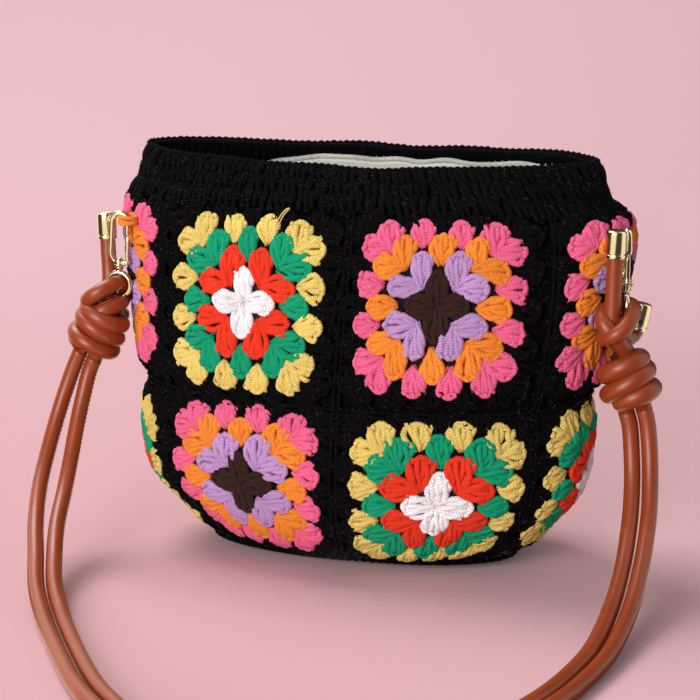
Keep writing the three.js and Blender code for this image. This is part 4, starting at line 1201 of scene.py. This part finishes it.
def turned(weave, profile, place, frame, colour=GOLD, sides=40):
    """A body of revolution from (radius, height) pairs about the Z axis of a frame."""
    profile = np.asarray(profile, float)
    angle = np.arange(sides) / sides * 2 * math.pi
    local = np.stack([
        profile[:, :1] * np.cos(angle), profile[:, :1] * np.sin(angle),
        np.broadcast_to(profile[:, 1:], (len(profile), sides)),
    ], -1)
    points = local @ np.asarray(frame).T + np.asarray(place, float)
    weave.grid(points, np.broadcast_to(np.asarray(colour, float), points.shape), wrap_along=False)


def rounded(corners, radius=0.3, steps=3):
    """A (radius, height) profile with its inner corners rounded."""
    corners = np.asarray(corners, float)
    out = [corners[0]]
    for before, corner, after in zip(corners, corners[1:], corners[2:]):
        reach = min(radius, np.linalg.norm(before - corner) * 0.45, np.linalg.norm(after - corner) * 0.45)
        a = corner + (before - corner) / np.linalg.norm(before - corner) * reach
        b = corner + (after - corner) / np.linalg.norm(after - corner) * reach
        for t in np.linspace(0, 1, steps + 1):
            out.append((1 - t) ** 2 * a + 2 * t * (1 - t) * corner + t ** 2 * b)
    out.append(corners[-1])
    return np.array(out)


def end_cap(end, name):
    """A metal cap on the end of a tail, with a rolled rim and a slightly domed end."""
    path = smooth_path(end["tails"][name], 1.0)
    tip = path[-1]
    heading = path[-1] - path[-12]
    heading /= np.linalg.norm(heading)
    across = np.cross(heading, (0, 1, 0.2))
    across /= np.linalg.norm(across)
    frame_turn = np.stack([across, np.cross(heading, across), heading], axis=1)
    weave = Weave()
    r = CAP_RADIUS
    profile = rounded([(0.01, 0.2), (r - 0.9, 0.1), (r - 0.75, 0.0), (r, 0.0), (r, 1.5), (r - 0.3, 1.7),
                       (r - 0.3, 2.2), (r, 2.4), (r, CAP_LENGTH - 1.5), (r - 0.2, CAP_LENGTH - 0.5),
                       (r - 1.2, CAP_LENGTH), (0.01, CAP_LENGTH + 0.05)], 0.5)
    turned(weave, profile, tip - heading * CAP_LENGTH, frame_turn)
    side = end["side"]
    cap = weave.build(f"{side}_{name}_cap_metal", GOLD_FINISH, replaces=[f"{side}_end_cap_{name}"],
                      sharp=50)
    # The dimple is a dark disc laid on the cap: painted shade for a small hole, not a recess.
    if name == "short" and end["cap_dimple"]:
        toward = np.asarray(end["cap_dimple"], float)
        toward = toward - heading * (toward @ heading)
        toward /= np.linalg.norm(toward)
        about = np.stack([heading, np.cross(toward, heading), toward], axis=1)
        dimple = Weave()
        turned(dimple, [(0.01, -0.3), (1.1, -0.3), (1.1, 0.06), (0.01, 0.04)],
               tip - heading * (CAP_LENGTH - DIMPLE_HEIGHT) + toward * (r - 0.02), about, colour=GOLD, sides=20)
        dimple.build(f"{side}_cap_dimple_shade", SHADE_FINISH)
    return cap


def swept(weave, path, sizes, out, colour=GOLD, sides=20, power=2.0):
    """A bar along a path with (half width, half thickness) at each point and rounded section."""
    path = np.asarray(path, float)
    across, outward, tangent = carried_frames(path, out)
    angle = np.arange(sides) / sides * 2 * math.pi
    c = np.sign(np.cos(angle)) * np.abs(np.cos(angle)) ** (2 / power)
    s = np.sign(np.sin(angle)) * np.abs(np.sin(angle)) ** (2 / power)
    sizes = np.broadcast_to(np.asarray(sizes, float), (len(path), 2))
    points = (path[:, None] + across[:, None] * (sizes[:, :1] * c)[..., None]
              + outward[:, None] * (sizes[:, 1:] * s)[..., None])
    weave.grid(points, np.broadcast_to(np.asarray(colour, float), points.shape), wrap_along=False)


HOOK_SPAN = 4.3
HOOK_HEIGHT = 27.5
NOSE_HEIGHT = 15.8
HOOK_WIRE = 1.4
COLLAR_RADIUS = 2.8
COLLAR_HEIGHT = 3.6
RING_RADIUS = 6.2
RING_WIRE = 1.4
RING_CENTRE = -9.5
GATE_PIVOT = (4.6, 2.4)
GATE_TOP = 15.5
CHEEK_INNER, CHEEK_OUTER = 1.5, 2.6


def to_world(points, clasp):
    turn, place = clasp
    return np.asarray(points, float) @ turn.T + place


def hook_body(end):
    turn, place = end["clasp"]
    weave = Weave()
    collar = rounded([(0.01, 0), (COLLAR_RADIUS - 0.3, 0), (COLLAR_RADIUS, 0.4), (COLLAR_RADIUS, 1.1),
                      (COLLAR_RADIUS - 0.5, 1.3), (COLLAR_RADIUS - 0.5, 1.7), (COLLAR_RADIUS - 0.1, 1.9),
                      (COLLAR_RADIUS - 0.1, COLLAR_HEIGHT - 0.3), (COLLAR_RADIUS - 0.6, COLLAR_HEIGHT),
                      (0.01, COLLAR_HEIGHT)], 0.25)
    turned(weave, collar, place, turn)
    angles = np.linspace(math.pi, 0, 26)
    top = HOOK_HEIGHT - HOOK_SPAN
    arch = [(HOOK_SPAN * math.cos(a), 0, top + HOOK_SPAN * math.sin(a)) for a in angles]
    spine = [(-1.2, 0, 1.6), (-2.9, 0, 3.2), (-HOOK_SPAN, 0, 6.2), (-HOOK_SPAN - 0.1, 0, 12), (-HOOK_SPAN, 0, top - 2)]
    nose = [(HOOK_SPAN, 0, top - 2), (HOOK_SPAN - 0.1, 0, NOSE_HEIGHT + 0.6)]
    path = smooth_path(spine + arch + nose, 0.55)
    share = np.linspace(0, 1, len(path))
    width = np.interp(share, [0, 0.12, 0.45, 0.6, 0.8, 0.97, 1], [1.6, 1.9, 1.7, 1.6, 1.8, 2.0, 1.6])
    thick = np.interp(share, [0, 0.1, 0.5, 0.8, 0.97, 1], [1.3, 1.35, 1.5, 1.4, 1.4, 1.0])
    swept(weave, to_world(path, end["clasp"]), np.stack([width, thick], 1), turn @ np.array([1.0, 0, 0]),
          power=2.4, sides=20)
    for way in (-1, 1):
        y = way * (CHEEK_INNER + CHEEK_OUTER) / 2
        cheek = [(1.0, y * 0.9, 1.6), (2.6, y, 2.0), (GATE_PIVOT[0] + 0.1, y, GATE_PIVOT[1])]
        swept(weave, to_world(smooth_path(cheek, 0.5), end["clasp"]), [1.35, (CHEEK_OUTER - CHEEK_INNER) / 2],
              turn @ np.array([0, 1.0, 0]), power=2.6, sides=18)
    side = end["side"]
    return weave.build(f"{side}_hook_metal", GOLD_FINISH, body=f"{side}_clasp", replaces=[f"{side}_hook"],
                       sharp=48)


def gate_pin(end):
    turn, place = end["clasp"]
    weave = Weave()
    x, z = GATE_PIVOT
    reach = CHEEK_OUTER + 0.25
    profile = rounded([(0.01, -reach), (0.85, -reach), (0.85, -reach + 0.3), (0.58, -reach + 0.35),
                       (0.58, reach - 0.35), (0.85, reach - 0.3), (0.85, reach), (0.01, reach)], 0.12)
    about = turn @ np.array([[1, 0, 0], [0, 0, -1], [0, 1, 0]], float)
    turned(weave, profile, to_world([x, 0, z], end["clasp"]), about, sides=24)
    side = end["side"]
    return weave.build(f"{side}_gate_pin_metal", GOLD_FINISH, body=f"{side}_clasp",
                       replaces=[f"{side}_gate_pin"], sharp=45)


def gate_bar(end):
    """The gate: a slim bar with rounded ends, and a long dark strip on its outer face that is painted shade for a slot.
    """
    turn, place = end["clasp"]
    weave = Weave()
    x, z = GATE_PIVOT
    centre = np.array([[x, 0, z - 1.2], [x, 0, z], [x - 0.2, 0, z + 2.5], [x - 0.25, 0, GATE_TOP - 3],
                       [x - 0.25, 0, GATE_TOP]])
    path = smooth_path(centre, 0.5)
    share = np.linspace(0, 1, len(path))
    width = np.interp(share, [0, 0.08, 0.2, 0.9, 1], [0.6, 1.15, 1.2, 1.15, 0.7])
    thick = np.interp(share, [0, 0.08, 0.2, 0.9, 1], [0.7, 1.2, 0.95, 0.95, 0.6])
    swept(weave, to_world(path, end["clasp"]), np.stack([width, thick], 1), turn @ np.array([1.0, 0, 0]),
          power=3.2, sides=24)
    # The slot is not cut: a thin dark strip on the outer face is painted shade for it.
    slot = smooth_path([[x + 0.72, 0, z + 2.4], [x + 0.72, 0, GATE_TOP - 1.6]], 0.8)
    slot_shade_colour = np.asarray(GOLD) * 0.03
    side = end["side"]
    gate = weave.build(f"{side}_gate_metal", GOLD_FINISH, body=f"{side}_lever", replaces=[f"{side}_gate"],
                       sharp=48)
    shade = Weave()
    ends = np.clip(1 - (2 * np.linspace(0, 1, len(slot)) - 1) ** 8, 0.1, 1) ** 0.5
    swept(shade, to_world(slot, end["clasp"]), np.stack([0.42 * ends, 0.05 + 0 * ends], 1),
          turn @ np.array([1.0, 0, 0]), colour=slot_shade_colour, sides=12)
    shade.build(f"{side}_gate_slot_shade", SHADE_FINISH, body=f"{side}_lever")
    return gate


def swivel_eye(end):
    turn, place = end["clasp"]
    weave = Weave()
    angle = np.arange(56) / 56 * 2 * math.pi
    section = np.arange(18) / 18 * 2 * math.pi
    radius = RING_RADIUS + RING_WIRE * np.cos(section)
    points = np.stack([
        np.cos(angle)[:, None] * radius, np.broadcast_to(RING_WIRE * np.sin(section), (56, 18)),
        RING_CENTRE + np.sin(angle)[:, None] * radius,
    ], -1)
    points = to_world(points.reshape(-1, 3), end["clasp"]).reshape(56, 18, 3)
    weave.grid(points, np.broadcast_to(np.asarray(GOLD, float), points.shape))
    neck_low = RING_CENTRE + RING_RADIUS + 0.6
    neck = rounded([(0.01, neck_low), (1.9, neck_low), (1.7, neck_low + 0.8), (2.3, -0.75), (2.3, -0.12),
                    (1.1, -0.12), (1.1, COLLAR_HEIGHT + 0.1), (1.8, COLLAR_HEIGHT + 0.2),
                    (1.75, COLLAR_HEIGHT + 0.7), (1.1, COLLAR_HEIGHT + 0.95), (0.01, COLLAR_HEIGHT + 0.98)], 0.2)
    turned(weave, neck, place, turn)
    side = end["side"]
    return weave.build(f"{side}_swivel_eye_metal", GOLD_FINISH, replaces=[f"{side}_swivel_eye"],
                       sharp=48)


# Yarn that ties each hook to the crochet, and one loose loop of yarn

LOOP_RADIUS = 4.3
LOOP_YARN = 1.0


def yarn_loop(weave, end, colours):
    """Turns of yarn round one arm of the hook, drawn into the wall."""
    turn, place = end["clasp"]
    arm = end["loop_arm"]
    for k, (lift, lean, grow) in enumerate([(-1.3, 0.5, 0.0), (0.2, -0.7, 0.15), (1.5, 0.3, -0.1)]):
        angle = np.linspace(0, 2 * math.pi, 27)
        radius = LOOP_RADIUS + grow
        ring = np.stack([arm + radius * np.cos(angle), radius * np.sin(angle),
                         end["loop_height"] + lift + lean * np.cos(angle + k)], 1)
        path = to_world(ring, end["clasp"])
        facing = path - path.mean(axis=0)
        weave.strands(path[None], LOOP_YARN, end["loop_colour"], facing[None], sides=8)


def loose_yarn(weave, column, row):
    u, v = in_square(column, row, np.array([0.31, 0.37, 0.44, 0.48, 0.41, 0.34]),
                     np.array([0.86, 0.98, 1.07, 1.09, 0.99, 0.84]))
    depth = np.array([0.8, -0.8, -1.6, -1.5, -0.9, 0.8])
    path = smooth_path(wall_at(u, v, depth), 0.6)
    weave.strands(path[None], 0.38, YELLOW, np.array([0, -1.0, 0.3]), sides=6)


def fuzz(name, count, rows, colour, radius):
    """Fine fibres that stand off the yarn over the wall, but not on the coloured middles of the squares."""
    weave = Weave()
    u = rng.uniform(0, SQUARES_AROUND, (count, 1))
    v = rng.uniform(*rows, (count, 1))
    coloured = (np.abs(u % 1 - 0.5) < 0.37) & (np.abs(v % 1 - 0.5) < 0.42) & (v < SQUARE_ROWS)
    u, v = (values[~coloured][:, None] for values in (u, v))
    count = len(u)
    heading = rng.uniform(0, 2 * math.pi, (count, 1))
    length = rng.uniform(0.9, 3.0, (count, 1))
    curl = rng.normal(0, 0.9, (count, 1))
    tau = np.linspace(0, 1, 4)[None]
    turn = heading + curl * tau
    pitch = WALL_GIRTHS.mean() / SQUARES_AROUND
    u = u + length * tau * np.cos(turn) / pitch
    v = np.clip(v + length * tau * np.sin(turn) / pitch, 0.02, RIM_ROW)
    depth = 0.9 - rng.uniform(0.6, 2.0, (count, 1)) * np.sin(math.pi * tau * rng.uniform(0.5, 1, (count, 1)))
    weave.strands(wall_at(u, v, depth), radius, colour, wall_normal(u, v), sides=3)
    return weave.build(name, BLACK_YARN)


def shade_material():
    """A flat dark colour: painted shade for the inside of a slot too narrow to light, and for the dimple of a cap."""
    material, nodes, links, shader = new_material("slot_shade")
    shader.inputs["Base Color"].default_value = (*paint("#1c150c"), 1)
    shader.inputs["Roughness"].default_value = 0.6
    return material


SHADE_FINISH = shade_material()

# All the pieces

for row, kinds in enumerate((LOWER_KINDS, UPPER_KINDS)):
    for column, kind in enumerate(kinds):
        granny_square(column, row, kind)
joining_crochet()
rim_band()
crochet_base()
lining()
# The fibres take a grey lighter than the black yarn: painted sheen.
fuzz("black_fuzz", 7500, (0.05, RIM_ROW), FUZZ_SHEEN_GREY, 0.07)

for end in STRAP_ENDS:
    strap_knot(end)
    end_cap(end, "long")
    end_cap(end, "short")
    hook_body(end)
    gate_pin(end)
    gate_bar(end)
    swivel_eye(end)

strap_cord("strap_cord_outer", OUTER_ROUTE, (1, 0, 0), 0.3)
strap_cord("strap_cord_inner", INNER_ROUTE, (1, 0, 0), 0.3)

# Stage: a pale floor, and soft daylight from the upper left

FLOOR_SIZE = 12.0
FLOOR_DROP = 0.0006
BACKDROP_LIFT = (-0.25, 1.1, 0.0, 0.13)
SIDE_LIFT = (0.0, 0.25, 0.0, 0.05)
SKY = paint("#e4bfc5")
MIRRORED = paint("#fff6e2")
FLAG_COUNT = 3
FLAG_TURN = 0.6
FLAG_DARK, FLAG_BRIGHT = 0.08, 1.3


def banded_level(nodes, links, vector):
    """Bright and dark upright bands by heading, like the flags and windows round a studio."""
    split = nodes.new("ShaderNodeSeparateXYZ")
    links.new(vector, split.inputs[0])
    heading = math_node(nodes, links, "ARCTAN2", split.outputs[1], split.outputs[0])
    turned_heading = math_node(nodes, links, "ADD", math_node(nodes, links, "MULTIPLY", heading, FLAG_COUNT), FLAG_TURN)
    level = nodes.new("ShaderNodeMapRange")
    links.new(math_node(nodes, links, "SINE", turned_heading), level.inputs["Value"])
    for name, value in zip(("From Min", "From Max", "To Min", "To Max"), (-0.3, 0.3, FLAG_DARK, FLAG_BRIGHT)):
        level.inputs[name].default_value = value
    return level.outputs["Result"]


SWEEP_START = 1.1
SWEEP_RADIUS = 1.6
SWEEP_HEIGHT = 3.0


def floor_piece():
    """A seamless sweep: a floor that curves up behind into a backdrop."""
    half = FLOOR_SIZE / 2
    profile = [(-half, -FLOOR_DROP), (SWEEP_START, -FLOOR_DROP)]
    for k in range(1, 25):
        turn = k / 24 * math.pi / 2
        profile.append((SWEEP_START + SWEEP_RADIUS * math.sin(turn),
                        SWEEP_RADIUS * (1 - math.cos(turn)) - FLOOR_DROP))
    profile.append((SWEEP_START + SWEEP_RADIUS, SWEEP_HEIGHT))
    points = [(x, y, z) for y, z in profile for x in (-half, half)]
    faces = [(2 * k, 2 * k + 1, 2 * k + 3, 2 * k + 2) for k in range(len(profile) - 1)]
    mesh = bpy.data.meshes.new("floor")
    mesh.from_pydata(points, [], faces)
    for face in mesh.polygons:
        face.use_smooth = True
    material, nodes, links, shader = new_material("floor")
    shader.inputs["Base Color"].default_value = (*FLOOR, 1)
    shader.inputs["Roughness"].default_value = 0.9
    shader.inputs["Specular IOR Level"].default_value = 0.1
    place = nodes.new("ShaderNodeTexCoord").outputs["Object"]
    split = nodes.new("ShaderNodeSeparateXYZ")
    links.new(place, split.inputs[0])
    ray = nodes.new("ShaderNodeLightPath")
    lifts = []
    for way, lift_range in ((1, BACKDROP_LIFT), (0, SIDE_LIFT)):
        lift = nodes.new("ShaderNodeMapRange")
        links.new(split.outputs[way], lift.inputs["Value"])
        for name, value in zip(("From Min", "From Max", "To Min", "To Max"), lift_range):
            lift.inputs[name].default_value = value
        lifts.append(lift.outputs["Result"])
    shader.inputs["Emission Color"].default_value = (*BACKDROP, 1)
    lifted = math_node(nodes, links, "ADD", *lifts)
    glow = math_node(nodes, links, "MULTIPLY", lifted, ray.outputs["Is Camera Ray"])
    links.new(glow, shader.inputs["Emission Strength"])
    # For glossy rays the floor glows in bright and dark bands: painted light that the metal and leather mirror.
    mirrored = nodes.new("ShaderNodeEmission")
    mirrored.inputs["Color"].default_value = (*MIRRORED, 1)
    links.new(banded_level(nodes, links, place), mirrored.inputs["Strength"])
    either = nodes.new("ShaderNodeMixShader")
    links.new(ray.outputs["Is Glossy Ray"], either.inputs[0])
    links.new(shader.outputs[0], either.inputs[1])
    links.new(mirrored.outputs[0], either.inputs[2])
    links.new(either.outputs[0], nodes["Material Output"].inputs["Surface"])
    mesh.materials.append(material)
    floor = bpy.data.objects.new("floor", mesh)
    bpy.context.scene.collection.objects.link(floor)
    return floor


def soft_light(name, place, target, size, power, colour=(1, 1, 1)):
    data = bpy.data.lights.new(name, "AREA")
    data.shape = "RECTANGLE"
    data.size, data.size_y = size
    data.energy = power
    data.color = colour
    light = bpy.data.objects.new(name, data)
    bpy.context.scene.collection.objects.link(light)
    light.location = place
    way = Vector(place) - Vector(target)
    light.rotation_euler = way.to_track_quat("Z", "Y").to_euler()
    return light


def world_light(level):
    """An even white sky for the light, and bright and dark flags for what metal mirrors."""
    world = bpy.data.worlds.new("daylight")
    bpy.context.scene.world = world
    world.use_nodes = True
    nodes, links = world.node_tree.nodes, world.node_tree.links
    bands = banded_level(nodes, links, nodes.new("ShaderNodeTexCoord").outputs["Generated"])
    ray = nodes.new("ShaderNodeLightPath")
    even = math_node(nodes, links, "MULTIPLY", math_node(nodes, links, "SUBTRACT", 1.0, ray.outputs["Is Glossy Ray"]), level)
    strength = math_node(nodes, links, "ADD", even, math_node(nodes, links, "MULTIPLY", bands, ray.outputs["Is Glossy Ray"]))
    background = nodes["Background"]
    background.inputs["Color"].default_value = (1, 1, 1, 1)
    links.new(strength, background.inputs["Strength"])
    seen = nodes.new("ShaderNodeBackground")
    seen.inputs["Color"].default_value = (*SKY, 1)
    either = nodes.new("ShaderNodeMixShader")
    links.new(ray.outputs["Is Camera Ray"], either.inputs[0])
    links.new(background.outputs[0], either.inputs[1])
    links.new(seen.outputs[0], either.inputs[2])
    links.new(either.outputs[0], nodes["World Output"].inputs["Surface"])


AIM = (0, -0.05, 0.1)
stage_pieces = [
    floor_piece(),
    soft_light("window", (-1.3, 0.6, 2.4), AIM, (1.4, 1.4), 58),
    soft_light("front", (-0.45, -1.75, 0.6), AIM, (1.0, 1.0), 31),
]
world_light(0.35)
